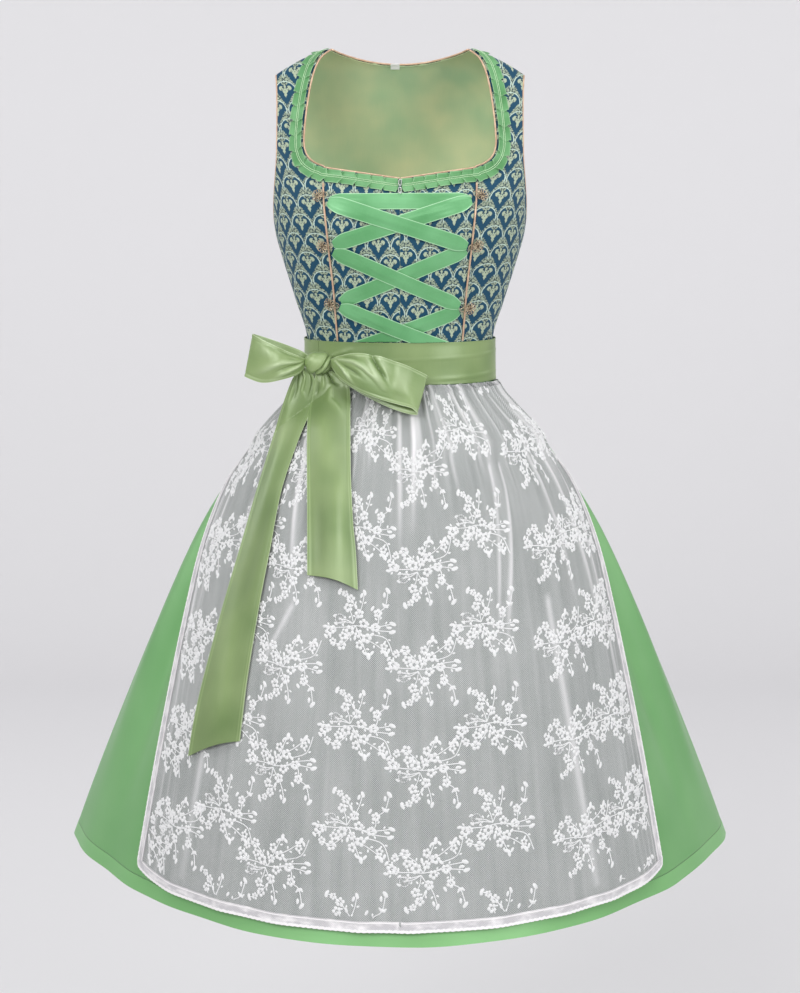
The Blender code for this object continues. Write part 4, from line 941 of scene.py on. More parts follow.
# Nearest places of the bodice front to targets in space, on the wearer's left.
def settled(targets):
    small = 0.0005
    x = targets[:, 0].copy()
    height = np.minimum(targets[:, 2], -0.0005)
    for _ in range(9):
        here = frontSpot(x, height)
        acrossStep = (frontSpot(x + small, height) - here) / small
        upStep = (here - frontSpot(x, height - small)) / small
        away = targets - here
        squareX = np.sum(acrossStep**2, axis=1)
        squareZ = np.sum(upStep**2, axis=1)
        mixed = np.sum(acrossStep * upStep, axis=1)
        spread = squareX * squareZ - mixed**2
        awayX = np.sum(away * acrossStep, axis=1)
        awayZ = np.sum(away * upStep, axis=1)
        x = np.clip(x + (awayX * squareZ - awayZ * mixed) / spread, 0.0003, 0.15)
        height = height + (awayZ * squareX - awayX * mixed) / spread
        height = np.minimum(height, shoulderLine(x) - 0.0003)
    return frontSpot(x, height), frontNormal(x, height)


# Table of the cloth beside the neck edge: rows run along it, columns away from it.
def neckTable():
    spots, _, _ = frontEdge(150)
    length = np.concatenate([[0], np.cumsum(np.linalg.norm(np.diff(spots, axis=0), axis=1))])
    total = length[-1]
    along = np.linspace(0.0010, total - 0.0006, 260)

    def edgeAt(distance):
        held = np.clip(distance, 0, total)
        return np.column_stack([np.interp(held, length, spots[:, axis]) for axis in range(3)])

    start = edgeAt(along)
    tangent = unit(edgeAt(along + 0.008) - edgeAt(along - 0.008))
    _, normals = settled(start)
    inward = unit(np.cross(normals, tangent))
    places, lifts = [], []
    for reach in np.linspace(0, ruchePlan["reach"], 12):
        place, normal = settled(start + inward * reach)
        places.append(place)
        lifts.append(normal)
    return np.stack(places, axis=1), np.stack(lifts, axis=1), total


# Pale lines of the ruche's selvedges, painted highlight along its folded pleat edges, and painted shade (a mark
# below 0) in the tucks between pleats.
def pleatMark(t, v):
    lip = ease((np.abs(2 * v - 1) - 0.84) / 0.12)
    foldHighlight = bell(t, 0.57, 0.05) * (0.3 + 0.7 * np.abs(2 * v - 1))
    tuckShade = bell(t, 0.80, 0.07) + bell(t, 0.02, 0.05)
    return 0.5 * np.maximum(lip, 0.9 * foldHighlight) - 0.6 * tuckShade * (0.35 + 0.65 * np.abs(2 * v - 1))


def buildRuche():
    places, lifts, total = neckTable()
    # one pleat in fourteen steps: its run at the stitching and at the free edges, height
    # off the bodice and how far its edge draws back, both in millimetres
    pressed = [0, 0.04, 0.16, 0.34, 0.54, 0.74, 0.92, 1.04, 1.10, 1.12, 1.08, 1.00, 0.96, 0.97, 1.0]
    splayed = [0.06, 0.08, 0.18, 0.34, 0.52, 0.68, 0.80, 0.87, 0.90, 0.90, 0.88, 0.88, 0.93, 0.99, 1.06]
    height = [0.5, 0.7, 1.1, 1.4, 1.6, 1.8, 2.05, 2.2, 2.1, 1.7, 1.2, 0.8, 0.6, 0.5, 0.5]
    recess = [2.4, 0.5, 0, 0, 0, -0.1, -0.4, -0.8, -0.6, 0.5, 2.0, 3.0, 3.4, 3.2, 2.4]
    knots = np.linspace(0, 1, 15)
    for name, flip in (("left", 1), ("right", -1)):
        widths = np.array(ruchePlan[name])
        starts = np.concatenate([[0], np.cumsum(widths)]) / widths.sum()

        def cloth(u, v):
            count = len(widths)
            index = np.minimum((u * count).astype(int), count - 1)
            t = u * count - index
            edge = np.abs(2 * v - 1)
            open_ = ease((edge - 0.10) / 0.75)
            run = lerp(np.interp(t, knots, pressed), np.interp(t, knots, splayed), open_)
            width = starts[index + 1] - starts[index]
            lean = 0.05 * np.sin(index * 2.3) * (2 * v - 1) * width
            along = starts[index] + run * width + lean * np.sin(math.pi * t)
            rise = np.interp(t, knots, height) * lerp(0.42, 1.0 + 0.12 * np.sin(index * 1.7), open_)
            drawn = np.interp(t, knots, recess) * 0.001 * (0.8 + 0.3 * np.sin(index * 2.7))
            drawn = drawn * np.where(v > 0.5, ease((v - 0.6) / 0.4), -0.25 * ease((0.4 - v) / 0.4))
            reach = 0.0008 + ruchePlan["width"] * v - drawn
            away = reach / ruchePlan["reach"]
            place = tableAt(places, along, away)
            normal = unit(tableAt(lifts, along, away))
            return onSide(place + normal * (rise * 0.001 + 0.0002)[..., None], flip)

        count = len(widths) * ruchePlan["columns"]
        cut = (total * 1.75, ruchePlan["width"])
        piece = clothSheet(
            f"neckRuche_{name}", count, ruchePlan["rows"], cloth, 0, ruchePlan["wall"], cut, [rucheRibbon],
            mark=lambda u, v: pleatMark(u * len(widths) % 1, v)
        )
        fit(piece, "green_ribbon", f"ruche_{name}")
        sewRuche(name, cloth, len(widths))


# Two rows of stitches that hold the pleats down along the ruche's middle.
def sewRuche(name, cloth, count):
    paths = []
    for row in (0.40, 0.53):
        t = (np.arange(count)[:, None] + np.linspace(0.06, 0.60, 9)[None, :]).ravel() / count
        spots = cloth(t, np.full(len(t), row))
        lifts = frontNormal(spots[:, 0], np.minimum(spots[:, 2], -0.003))
        paths.append(spots + lifts * (ruchePlan["wall"] + 0.0001))
    stitches = wirePiece(f"rucheStitches_{name}", paths, 0.00034, stitchThread, 1)
    fit(stitches, "green_ribbon")


buildRuche()
print("ruche ready")

# Level sections of the skirt: height, half width, depth in front, depth behind and the two
# powers of its plan outline.
skirtRows = sized([tenth, tenth, tenth, tenth, 0.001, 0.001], [
    (-3725, 1125, 830, 770, 900, 920), (-4000, 1145, 850, 790, 900, 925), (-4100, 1190, 900, 840, 901, 935),
    (-4270, 1340, 1050, 990, 904, 968), (-4520, 1580, 1290, 1230, 907, 1021),
    (-5020, 1975, 1680, 1630, 914, 1109), (-5780, 2445, 2150, 2100, 922, 1214),
    (-6800, 2945, 2650, 2610, 930, 1325), (-8100, 3500, 3210, 3170, 939, 1449),
    (-9200, 3940, 3650, 3610, 946, 1547), (-9850, 4180, 3890, 3850, 950, 1600),
])
skirtTop = skirtRows[0][0]
skirtPlan = {"wall": 0.0012, "gathers": 22, "gatherRise": 0.0022, "hemBand": 0.0165}

foldUnits = [0.001, 0.001, 0.001, tenth, 0.01]

# Long folds: place at the waist and at the hem as shares from the wearer's left side
# seam, spread, rise, and how much of the rise is left at the hem.
frontFolds = sized(foldUnits, [
    (50, 45, 22, 75, 4), (110, 115, 20, -70, 6), (160, 180, 26, 50, 30), (840, 815, 26, 55, 30),
    (890, 875, 22, -80, 6), (945, 945, 28, 80, 4),
])
backFolds = sized(foldUnits, [
    (60, 55, 34, 70, 55), (170, 150, 32, -60, 55), (270, 255, 40, 80, 55), (390, 380, 36, 60, 55),
    (500, 505, 44, 85, 55), (620, 630, 36, 65, 55), (730, 750, 40, 80, 55), (850, 860, 34, -60, 55),
    (940, 945, 30, 70, 55),
])
skirtAt = byHeight(skirtRows)


# Plan outline of a half skirt at every height, and the direction out of it.
class HalfRings:
    def __init__(self, side, lift=0.0):
        self.heights = np.linspace(skirtTop, hem, 170)
        shares = np.linspace(0, 1, 361)
        turn = np.linspace(0, math.pi, 500)
        plan = np.zeros((len(self.heights), len(shares), 2))
        self.length = np.zeros(len(self.heights))
        for index, height in enumerate(self.heights):
            halfWidth, inFront, behind, roundX, roundY = skirtAt(height)
            depth = (inFront if side == frontSide else behind) + lift
            x = (halfWidth + lift) * signedPower(np.cos(turn), roundX)
            y = side * (depth * np.clip(np.sin(turn), 0, 1) ** roundY + seamGap / 2)
            length = np.concatenate([[0], np.cumsum(np.hypot(np.diff(x), np.diff(y)))])
            plan[index, :, 0] = np.interp(shares, length / length[-1], x)
            plan[index, :, 1] = np.interp(shares, length / length[-1], y)
            self.length[index] = length[-1]
        run = np.gradient(plan, axis=1)
        run = (np.roll(run, 2, axis=1) + np.roll(run, -2, axis=1) + run) / 3
        out = np.stack([side * run[..., 1], -side * run[..., 0]], axis=-1)
        out[:, :3] = (1, 0)
        out[:, -3:] = (-1, 0)
        self.plan = plan
        self.out = unit(out)
        self.shares = shares

    def down(self, height):
        return (skirtTop - height) / (skirtTop - hem)

    def at(self, share, height, rise):
        share, height = np.broadcast_arrays(share, height)
        down = self.down(height)
        flat = tableAt(self.plan, down, share) + unit(tableAt(self.out, down, share)) * np.asarray(rise)[..., None]
        return joined(flat[..., 0], flat[..., 1], height)

    def halfLength(self, height):
        return np.interp(self.down(height), np.linspace(0, 1, len(self.length)), self.length)


def foldRise(folds, share, down):
    rise = np.zeros(np.shape(share))
    for top, bottom, spread, height, left in folds:
        centre = lerp(top, bottom, down)
        grow = ease((down - 0.06) / 0.30) * lerp(1.0, left, ease((down - 0.55) / 0.45))
        rise += height * grow * bell(share, centre, spread)
    return rise


# Gathers of uneven width and depth; places are the crests' shares.
def gatherWave(share, count, seed):
    warp = 0.10 * np.sin(share * math.tau * 3 + seed) + 0.07 * np.sin(share * math.tau * 7 + seed * 2.3)
    phase = count * share + warp * 2.2 + 0.30 * np.sin(share * math.tau * 11 + seed)
    depth = 0.78 + 0.22 * np.sin(share * math.tau * 5.5 + seed * 1.7)
    wave = np.cos(math.tau * phase)
    return depth * (wave + 0.22 * np.cos(2 * math.tau * phase + 0.6))


frontRings = HalfRings(frontSide)
backRings = HalfRings(backSide)
apronRings = HalfRings(frontSide, 0.0068)


def skirtSurface(side):
    rings = frontRings if side == frontSide else backRings
    folds = frontFolds if side == frontSide else backFolds
    covered = side == frontSide

    def surface(share, v):
        height = lerp(skirtTop, hem, v)
        opening = ease((-0.385 - height) / 0.030)
        fading = 1 - ease((-0.412 - height) / (0.15 if covered else 0.24))
        size = lerp(0.0004, skirtPlan["gatherRise"] * (0.6 if covered else 0.95), opening) * fading
        rise = size * gatherWave(share, skirtPlan["gathers"], 0.4 if covered else 1.9)
        edge = ease(share / 0.03) * ease((1 - share) / 0.03)
        rise = rise * edge + foldRise(folds, share, v) * edge
        low = ease((v - 0.90) / 0.10)
        sway = np.sin(share * math.tau * 6.5 + 1.1) + 0.6 * np.sin(share * math.tau * 11 + 0.3)
        rise = rise + 0.0010 * sway * low * edge
        band = 0.0005 * ease((hem + skirtPlan["hemBand"] - height) / 0.0008)
        return rings.at(share, height, rise + band)

    return surface


def buildSkirt():
    drop = skirtDrop
    for name, side, columns, rows in (("front", frontSide, 232, 90), ("back", backSide, 264, 90)):
        surface = skirtSurface(side)
        rings = frontRings if side == frontSide else backRings

        def cut(u, v):
            return (u - 0.5) * rings.halfLength(lerp(skirtTop, hem, v)), v * drop

        piece = clothSheet(
            f"skirt_{name}_cloth", columns, rows, surface, -skirtPlan["wall"], 0, cut, [skirtSatin], (0, 0, -0.6)
        )
        fit(piece, "skirt_satin", f"skirt_{name}")


buildSkirt()
print("skirt ready")

# Side edges of the apron: half width at each height.
apronEdgeRows = sized([tenth, tenth], [
    (-3990, 1195), (-4500, 1660), (-4830, 1880), (-5200, 2110), (-5650, 2310), (-6100, 2450), (-6600, 2560),
    (-7300, 2700), (-8000, 2830), (-8600, 2935), (-9670, 3110),
])
apronPlan = {
    "wall": 0.0010, "top": -0.3993, "centreBottom": -0.9670, "cornerBottom": -0.9540, "gathers": 24,
    "gatherRise": 0.0027, "edging": 0.0105, "edgingWall": 0.0006, "edgingLift": 0.0011, "scallop": 0.0062,
    "sideRun": 0.5935, "corner": 0.0040, "length": 0.640, "drop": 0.60, "spread": 0.62, "cutWidth": 0.70,
    "fullWidth": 0.86,
}
apronFolds = sized(foldUnits, [
    (80, 60, 30, 30, 60), (200, 140, 26, 34, 60), (290, 235, 24, 30, 60), (385, 355, 28, 36, 60),
    (500, 485, 20, 34, 60), (560, 560, 20, 34, 60), (720, 690, 34, 38, 60), (810, 790, 26, 32, 60),
    (900, 900, 28, 30, 60),
])

# Narrow creases where the net doubles on itself: share at its start and how far down,
# share at its end and how far down, width, rise, strength left at each end, whiteness.
doubledNet = sized([0.001, 0.001, 0.001, 0.001, tenth, tenth, 0.1, 0.1, 0.01], [
    (463, 0, 475, 270, 55, 16, 10, 2, 75), (500, 10, 500, 330, 50, 15, 10, 1, 65),
    (570, 0, 572, 180, 55, 14, 10, 0, 60), (600, 20, 590, 150, 45, 12, 10, 0, 50),
    (745, 0, 700, 420, 60, 18, 10, 1, 80), (860, 10, 780, 280, 55, 15, 10, 0, 65),
    (700, 420, 770, 560, 60, 12, 3, 0, 50), (262, 160, 310, 560, 45, 16, 0, 0, 60),
    (292, 160, 322, 520, 40, 14, 0, 0, 50), (330, 0, 300, 200, 60, 13, 10, 1, 50),
    (392, 0, 372, 240, 55, 13, 10, 0, 50), (180, 30, 120, 500, 60, 12, 6, 0, 55),
    (120, 60, 60, 560, 55, 12, 6, 0, 60), (70, 80, 32, 800, 50, 11, 6, 0, 60),
    (930, 60, 955, 560, 55, 12, 6, 0, 60), (968, 80, 975, 800, 50, 11, 6, 0, 60),
    (205, 420, 170, 960, 80, 20, 0, 6, 50), (840, 240, 880, 960, 80, 22, 0, 3, 55),
])
apronHalf = byHeight(apronEdgeRows)
apronStarts = np.array([
    np.interp(-float(apronHalf(min(h, -0.399))[0]), -row[:, 0], apronRings.shares)
    for h, row in zip(apronRings.heights, apronRings.plan)
])


def apronHeight(u, down):
    corner = np.abs(2 * u - 1) ** 10
    return lerp(apronPlan["top"], lerp(apronPlan["centreBottom"], apronPlan["cornerBottom"], corner), down)


def apronStart(height):
    return np.interp(apronRings.down(height), np.linspace(0, 1, len(apronStarts)), apronStarts)


# Real width of the apron as it lies on the skirt.
def apronWidth(height):
    return apronRings.halfLength(height) * (1 - 2 * apronStart(height))


# Apron: u from the wearer's left edge to the right one, v down from the band to the hem.
def apronSurface(u, v):
    u, v = np.broadcast_arrays(np.asarray(u, dtype=float), np.asarray(v, dtype=float))
    height = apronHeight(u, v)
    start = apronStart(height)
    share = lerp(start, 1 - start, u)
    strong = 1 - ease((v - 0.02) / 0.30)
    rise = apronPlan["gatherRise"] * strong * gatherWave(u, apronPlan["gathers"], 2.7)
    rise = rise + 0.00055 * (1 - ease(v / 0.16)) * np.cos(math.tau * (71 * u + 0.8 * np.sin(19 * u)))
    rise = rise + foldRise(apronFolds, u, v)
    rise = rise + creaseRise([row[:8] for row in doubledNet], u, v)
    tucked = bell(np.minimum(u, 1 - u), 0, 0.022) * (1 - ease((v - 0.13) / 0.10))
    return apronRings.at(share, height, rise - 0.0068 * tucked)


def apronMark(u, v):
    doubled = creaseRise([(*row[:4], row[4] * 0.8, row[8], 1, row[7]) for row in doubledNet], u, v)
    crest = np.maximum(gatherWave(u, apronPlan["gathers"], 2.7), 0) ** 3
    gathered = 0.42 * crest * (1 - ease((v - 0.01) / 0.26))
    side = ease((np.abs(2 * u - 1) - 0.80) / 0.16) * ease(v / 0.10)
    pleated = np.maximum(np.cos(math.tau * (58 * u + 0.7 * np.sin(17 * u) + 0.4 * np.sin(5 * v + 30 * u))), 0) ** 4
    return np.clip(doubled + gathered + 0.38 * side * pleated, 0, 1)


def apronCut(u, v):
    return (u - 0.5) * apronPlan["cutWidth"], v * apronPlan["length"]


def buildApron():
    piece = clothSheet(
        "apronNet", 320, 106, apronSurface, 0.0002, 0.0008, apronCut, [apronNet], (0, 0, -0.6), apronMark
    )
    fit(piece, "apron_net", "apron_lace")
    return piece


# Place near an edge of the apron: metres in from the side edge and up from the hem.
def nearEdge(inX, upY, rightHalf):
    down = 1 - upY / apronPlan["drop"]
    width = apronWidth(apronHeight(np.full(np.shape(down), 0.02), down))
    u = inX / width
    return np.where(rightHalf, 1 - u, u), down


# Woven scalloped edge down one side of the apron, along its hem and up the other side.
def edgingSurface(u, v):
    u, v = np.broadcast_arrays(u, v)
    sideRun, corner, halfHem = apronPlan["sideRun"], apronPlan["corner"], float(apronWidth(hem * 0.98)) / 2
    start, drop, slope = 0.015, apronPlan["drop"], 0.975
    arc = corner * math.pi / 2
    total = sideRun + arc + halfHem - corner
    along = np.minimum(u, 1 - u) * 2 * total
    wave = np.abs(np.sin(math.pi * u * 2 * total / apronPlan["scallop"]))
    off = lerp(-0.0006 - 0.0009 * wave, apronPlan["edging"], v)  # from the edge into the apron
    turned = np.clip((along - sideRun) / arc, 0, 1) * math.pi / 2
    radius = corner - off
    inX = np.where(along <= sideRun, off, corner - radius * np.cos(turned))
    upY = np.where(along <= sideRun, drop - (start + along * slope), corner - radius * np.sin(turned))
    level = drop - (start + sideRun * slope)
    upY = np.where(along > sideRun, upY + (level - corner) * (1 - turned / (math.pi / 2)), upY)
    inX = np.where(along > sideRun + arc, corner + along - sideRun - arc, inX)
    upY = np.where(along > sideRun + arc, off, upY)
    place, down = nearEdge(inX, upY, u > 0.5)
    held = np.clip(place, 0, 1)
    spots = apronSurface(held, np.clip(down, 0, 1))
    inner = apronSurface(np.where(u > 0.5, 0.98, 0.02), np.clip(down, 0, 1))
    past = np.where(place < 0, -place, np.maximum(place - 1, 0))
    width = apronWidth(spots[..., 2])
    spots = spots + unit(spots - inner) * (past * width)[..., None]
    spots[..., 2] -= np.maximum(down - 1, 0) * 0.6
    return spots


def buildEdging():
    low = apronPlan["edgingLift"]
    piece = clothSheet(
        "apronEdging", 900, 6, edgingSurface, low, low + apronPlan["edgingWall"], (1.78, 0.012), [laceEdge],
        (0, 0, -0.6)
    )
    fit(piece, "lace_edging", "apron_edging")


# Embroidered spray, in millimetres from its centre: flowers with their petal size, leaves
# with length and lean, and stems.
sprayPlan = {
    "flowers": [
        (-12.3, 13.9, 5.4), (-22.1, 2.5, 5.0), (-4.6, 21.3, 4.8), (-4.9, -13.1, 5.2), (4.9, -29.5, 5.0),
        (-25.4, -13.1, 4.8), (16.4, 22.1, 5.2), (29.5, 5.7, 5.6), (6.6, 5.7, 5.6), (8.2, -19.7, 5.0),
        (-3.5, 8.5, 4.6), (-9.5, -2.5, 5.0), (11.5, -35.3, 3.8), (14.5, 11.5, 4.6), (26.0, 17.5, 4.0),
        (-31.0, 24.0, 4.2),
    ],
    "rings": [(18.0, -7.4, 5.2)],
    "leaves": [
        (-32.8, 32.0, 8, 60), (-29.5, 29.5, 6, 10), (-36.0, 29.0, 6, 110), (-14.0, 33.6, 8, 80),
        (-10.5, 30.5, 6, 30), (-17.5, 30.5, 6, 130), (-41.0, 8.2, 8, 160), (-41.8, -0.8, 8, 200),
        (-37.5, 3.5, 6, 180), (-11.5, -36.9, 7, 250), (-8.0, -33.5, 6, 290), (18.0, -37.7, 7, 290),
        (-34.4, -20.5, 7, 200), (-37.7, -37.7, 8, 230), (-33.5, -33.0, 6, 270), (-19.7, -18.9, 6, 300),
        (22.5, -2.0, 5, 40), (23.5, -11.0, 5, 330), (34.0, 12.0, 6, 50), (35.0, 1.0, 6, 350),
        (0.5, 13.5, 6, 100), (-1.0, -21.0, 6, 250), (-18.0, 10.0, 6, 140), (10.0, 13.5, 5, 60),
    ],
    "stems": [
        [(0, 0), (-8, 12), (-20, 20), (-29, 27), (-32.8, 32)],
        [(0, 0), (-6, 14), (-10, 25), (-14, 33.6)],
        [(0, 0), (12, 2), (22, 2.5), (29.5, 5.7)],
        [(0, 0), (6, 12), (12, 18), (16.4, 22.1)],
        [(2, -2), (10, -6), (18, -7.4)],
        [(0, 0), (-12, 1), (-22, 2.5), (-26, -5), (-25, -13), (-34, -20), (-38, -38)],
        [(2, -2), (-2, -10), (-4.9, -13.1), (0, -22), (4.9, -29.5), (11.5, -35.3)],
        [(8.2, -19.7), (4, -12), (2, -2)],
        [(-4.9, -13.1), (-9, -24), (-11.5, -36.9)],
        [(-18, 10), (-34, 16), (-41, 34)],
        [(16.4, 22.1), (22, 20), (27, 18)],
        [(22, 2.5), (28, 9), (34, 12)], [(22, 2.5), (29, 1), (35, 1)], [(-12, 1), (-24, 6), (-41, 8)],
        [(-22, 2.5), (-33, 1), (-42, -1)], [(11.5, -35.3), (15, -37), (18, -38)], [(2, -2), (13, -4), (22.5, -2)],
    ],
    "threadRadius": 0.00066,
    "rise": 0.0011,
}

# Columns of sprays: share across the apron, first spray's place down it, and whether
# they hang upside down.
sprayColumns = [
    (0.015, 0.640, 1), (0.085, 0.300, -1), (0.190, 0.140, 1), (0.350, 0.085, -1), (0.465, 0.165, 1),
    (0.580, 0.085, -1), (0.710, 0.170, 1), (0.810, 0.085, -1), (0.915, 0.330, 1), (0.985, 0.550, -1),
]
sprayStep = 0.1830


# One shape of raised satin stitch, made of low flat-topped cones, 1 m in size for scaling.
def stitchShape(cones):
    form = bmesh.new()
    for turn, place, size, sides, top in cones:
        matrix = Matrix.Rotation(turn, 4, "Z") @ Matrix.Translation(place) @ Matrix.Diagonal((*size, 1))
        cone = {"cap_ends": True, "segments": sides, "radius1": 1, "radius2": top, "depth": 1}
        bmesh.ops.create_cone(form, matrix=matrix, **cone)
    mesh = bpy.data.meshes.new("stitchShape")
    form.to_mesh(mesh)
    form.free()
    return mesh, np.array([vertex.co for vertex in mesh.vertices])


def stitchShapes():
    rise = sprayPlan["rise"] / 0.005
    ring = [(math.tau * index / 12, (1, 0, rise / 2), (0.12, 0.27, rise), 5, 0.5) for index in range(12)]
    bars = [(math.pi * share, (0, 0, rise / 3), (1, 0.05, rise / 2), 4, 0.8) for share in (0.1, 0.35, 0.6, 0.85)]
    cones = {
        "flower": [
            (math.tau * index / 5 + 0.3, (0.68, 0, rise / 2), (0.42, 0.44, rise), 6, 0.55) for index in range(5)
        ],
        "leaf": [(0, (0, 0, rise / 3), (0.5, 0.27, rise * 0.66), 7, 0.5)],
        "ring": ring + bars,
        "bud": [(0, (0, 0, rise / 3), (0.5, 0.30, rise * 0.66), 6, 0.5)],
    }
    return {kind: stitchShape(rows) for kind, rows in cones.items()}


def stemRun(points):
    points = np.array(points, dtype=float)
    curve = byRow(np.column_stack([points, np.zeros(len(points))]))
    return curve(np.linspace(0, len(points) - 1, (len(points) - 1) * 4 + 1))[:2].T


# The sprays are made flat, then every point is carried to the apron's surface.
def buildSprays():
    form = bmesh.new()
    shapes = stitchShapes()
    anchors, offsets = [], []
    widthSteps = np.linspace(0, 1, 60)
    widths = apronWidth(apronHeight(0.5, widthSteps))

    def inside(x, y, margin):
        width = np.interp(y, widthSteps, widths)
        return margin / width < x < 1 - margin / width and 0.012 < y < 1 - margin / 0.58

    def sew(kind, size, anchor, margin, turn, flip):
        if not inside(*anchor, margin):
            return
        mesh, spots = shapes[kind]
        form.from_mesh(mesh)
        x, y, z = spots.T * size * 0.001
        turned = x * math.sin(turn) + y * math.cos(turn)
        offsets.append(np.column_stack([x * math.cos(turn) - y * math.sin(turn), flip * turned, z]))
        anchors.append(np.tile(anchor, (len(spots), 1)))

    stems = []
    for share, first, flip in sprayColumns:
        downs = np.arange(first - 2 * sprayStep, 1.15, sprayStep)
        for index, down in enumerate(downs):
            lean = 0.05 * math.sin(index * 2.1 + share * 9)

            def clothPlace(x, y):
                turnedX = x * math.cos(lean) - y * math.sin(lean)
                turnedY = x * math.sin(lean) + y * math.cos(lean)
                x = share + turnedX * 0.001 / apronPlan["spread"]
                return x, down - flip * turnedY * 0.001 / apronPlan["drop"]

            for x, y, size in sprayPlan["flowers"]:
                sew("flower", size * 1.02, clothPlace(x, y), 0.016, x + y, flip)
            for x, y, size in sprayPlan["rings"]:
                sew("ring", size, clothPlace(x, y), 0.016, 0.3, flip)
            for x, y, length, turn in sprayPlan["leaves"]:
                sew("leaf", length * 1.10, clothPlace(x, y), 0.015, math.radians(turn), -flip)
            for points in sprayPlan["stems"]:
                for before, (x, y) in zip(points[1:], points[2:]):
                    turn = math.atan2(y - before[1], x - before[0])
                    for swing in (0.9, -0.9):
                        budX = before[0] + 3.4 * math.cos(turn + swing)
                        budY = before[1] + 3.4 * math.sin(turn + swing)
                        sew("bud", 3.9, clothPlace(budX, budY), 0.015, turn + swing, flip)
                run = [clothPlace(x, y) for x, y in stemRun(points)]
                run = [place for place in run if inside(*place, 0.013)]
                if len(run) > 3:
                    stems.append(np.array(run))
    anchors = np.vstack(anchors)
    offsets = np.vstack(offsets)
    width = apronWidth(apronHeight(*anchors.T))
    squeeze = np.clip(width / apronPlan["spread"], 0.55, 1)
    u = np.clip(anchors[:, 0] + offsets[:, 0] * squeeze / width, 0.001, 0.999)
    v = np.clip(anchors[:, 1] - offsets[:, 1] / apronPlan["drop"], 0.001, 0.999)
    spots, normals = surfaceNormals(apronSurface, u, v, (0, 0, -0.6), 0.003)
    lifted = spots + normals * (0.0009 + offsets[:, 2:3])
    for vertex, place in zip(form.verts, lifted):
        vertex.co = place
    bmesh.ops.recalc_face_normals(form, faces=form.faces)
    for mesh, _ in shapes.values():
        bpy.data.meshes.remove(mesh)
    flowers = finishPiece("apronFlowers", form, [laceThread], 70)
    fit(flowers, "lace_edging")
    paths = []
    for run in stems:
        spots, normals = surfaceNormals(apronSurface, run[:, 0], run[:, 1], (0, 0, -0.6), 0.003)
        paths.append(spots + normals * 0.0011)
    branches = wirePiece("apronStems", paths, sprayPlan["threadRadius"], laceThread, 0)
    fit(branches, "lace_edging")
    return flowers, branches


apron = buildApron()
buildEdging()
sprays = buildSprays()
print("apron ready")

# Inner face of the apron band: height, half width, depth in front, depth behind, squareness.
bandRows = [
    (-0.349, 0.1166, 0.0868, 0.0808, 2.20),
    (-0.399, 0.1174, 0.0882, 0.0822, 2.20),
]
bandPlan = {"wall": 0.0012, "join": 3.75, "tall": 0.12}  # tall: its width as a share of its run
bandAt = byHeight(bandRows)


def bandShare(x, front=True):
    turn = math.acos(max(-1, min(1, float(signedPower(x / 0.117, 1.1)))))
    turn = math.tau - turn if front else turn
    return (turn - bandPlan["join"]) % math.tau / math.tau


bandUnits = [tenth, 0.01, tenth, 0.01, 0.001, tenth, 0.1, 0.1]

# Folds of the band: x and share of its width at both ends, then width, rise and fades.
bandFolds = sized(bandUnits, [
    (200, 90, 1160, 78, 35, 7, 2, 10), (0, 40, 1000, 34, 220, 9, 0, 0), (-700, 35, -300, 26, 50, -5, 10, 0),
    (-760, 62, 100, 74, 60, 6, 10, 0), (-1075, 0, -955, 50, 22, 13, 8, 5), (-1045, 0, -925, 50, 22, -6, 8, 5),
    (-800, 36, -600, 18, 40, 16, 10, 3), (-780, 50, -580, 32, 35, -8, 10, 2),
])
backBandFolds = sized(bandUnits, [
    (-1100, 30, 200, 42, 40, 6, 3, 0), (-200, 66, 1120, 58, 40, -6, 0, 3), (100, 20, 1150, 14, 35, 6, 0, 6),
    (-1000, 80, -100, 84, 40, 5, 4, 0),
])


def buildBand():
    creases, tall = [], bandPlan["tall"]
    for rows, isFront in ((bandFolds, True), (backBandFolds, False)):
        for startX, startV, endX, endV, width, rise, fadeStart, fadeEnd in rows:
            ends = (bandShare(startX, isFront), startV * tall, bandShare(endX, isFront), endV * tall)
            creases.append((*ends, width * tall, rise, fadeStart, fadeEnd))

    def surface(u, v):
        height = lerp(bandRows[0][0], bandRows[1][0], v)
        halfWidth, inFront, behind, squareness = bandAt(height)
        turn = bandPlan["join"] + math.tau * (0.0004 + 0.9992 * u)
        depth = np.where(np.sin(turn) > 0, behind, inFront)
        power = 2 / squareness
        rise = creaseRise(creases, u, v * tall)
        hemFold = 0.0003 * (bell(v, 0, 0.05) + bell(v, 1, 0.05))
        rise = np.maximum(rise + hemFold, -0.0001)
        x = (halfWidth + rise) * signedPower(np.cos(turn), power)
        y = (depth + rise) * signedPower(np.sin(turn), power)
        return joined(x, y, height)

    band = clothSheet("bandCloth", 320, 28, surface, 0.0001, bandPlan["wall"], (0.655, 0.050), [sageSatin])
    fit(band, "sage_satin", "apron_band")


buildBand()
print("band ready")

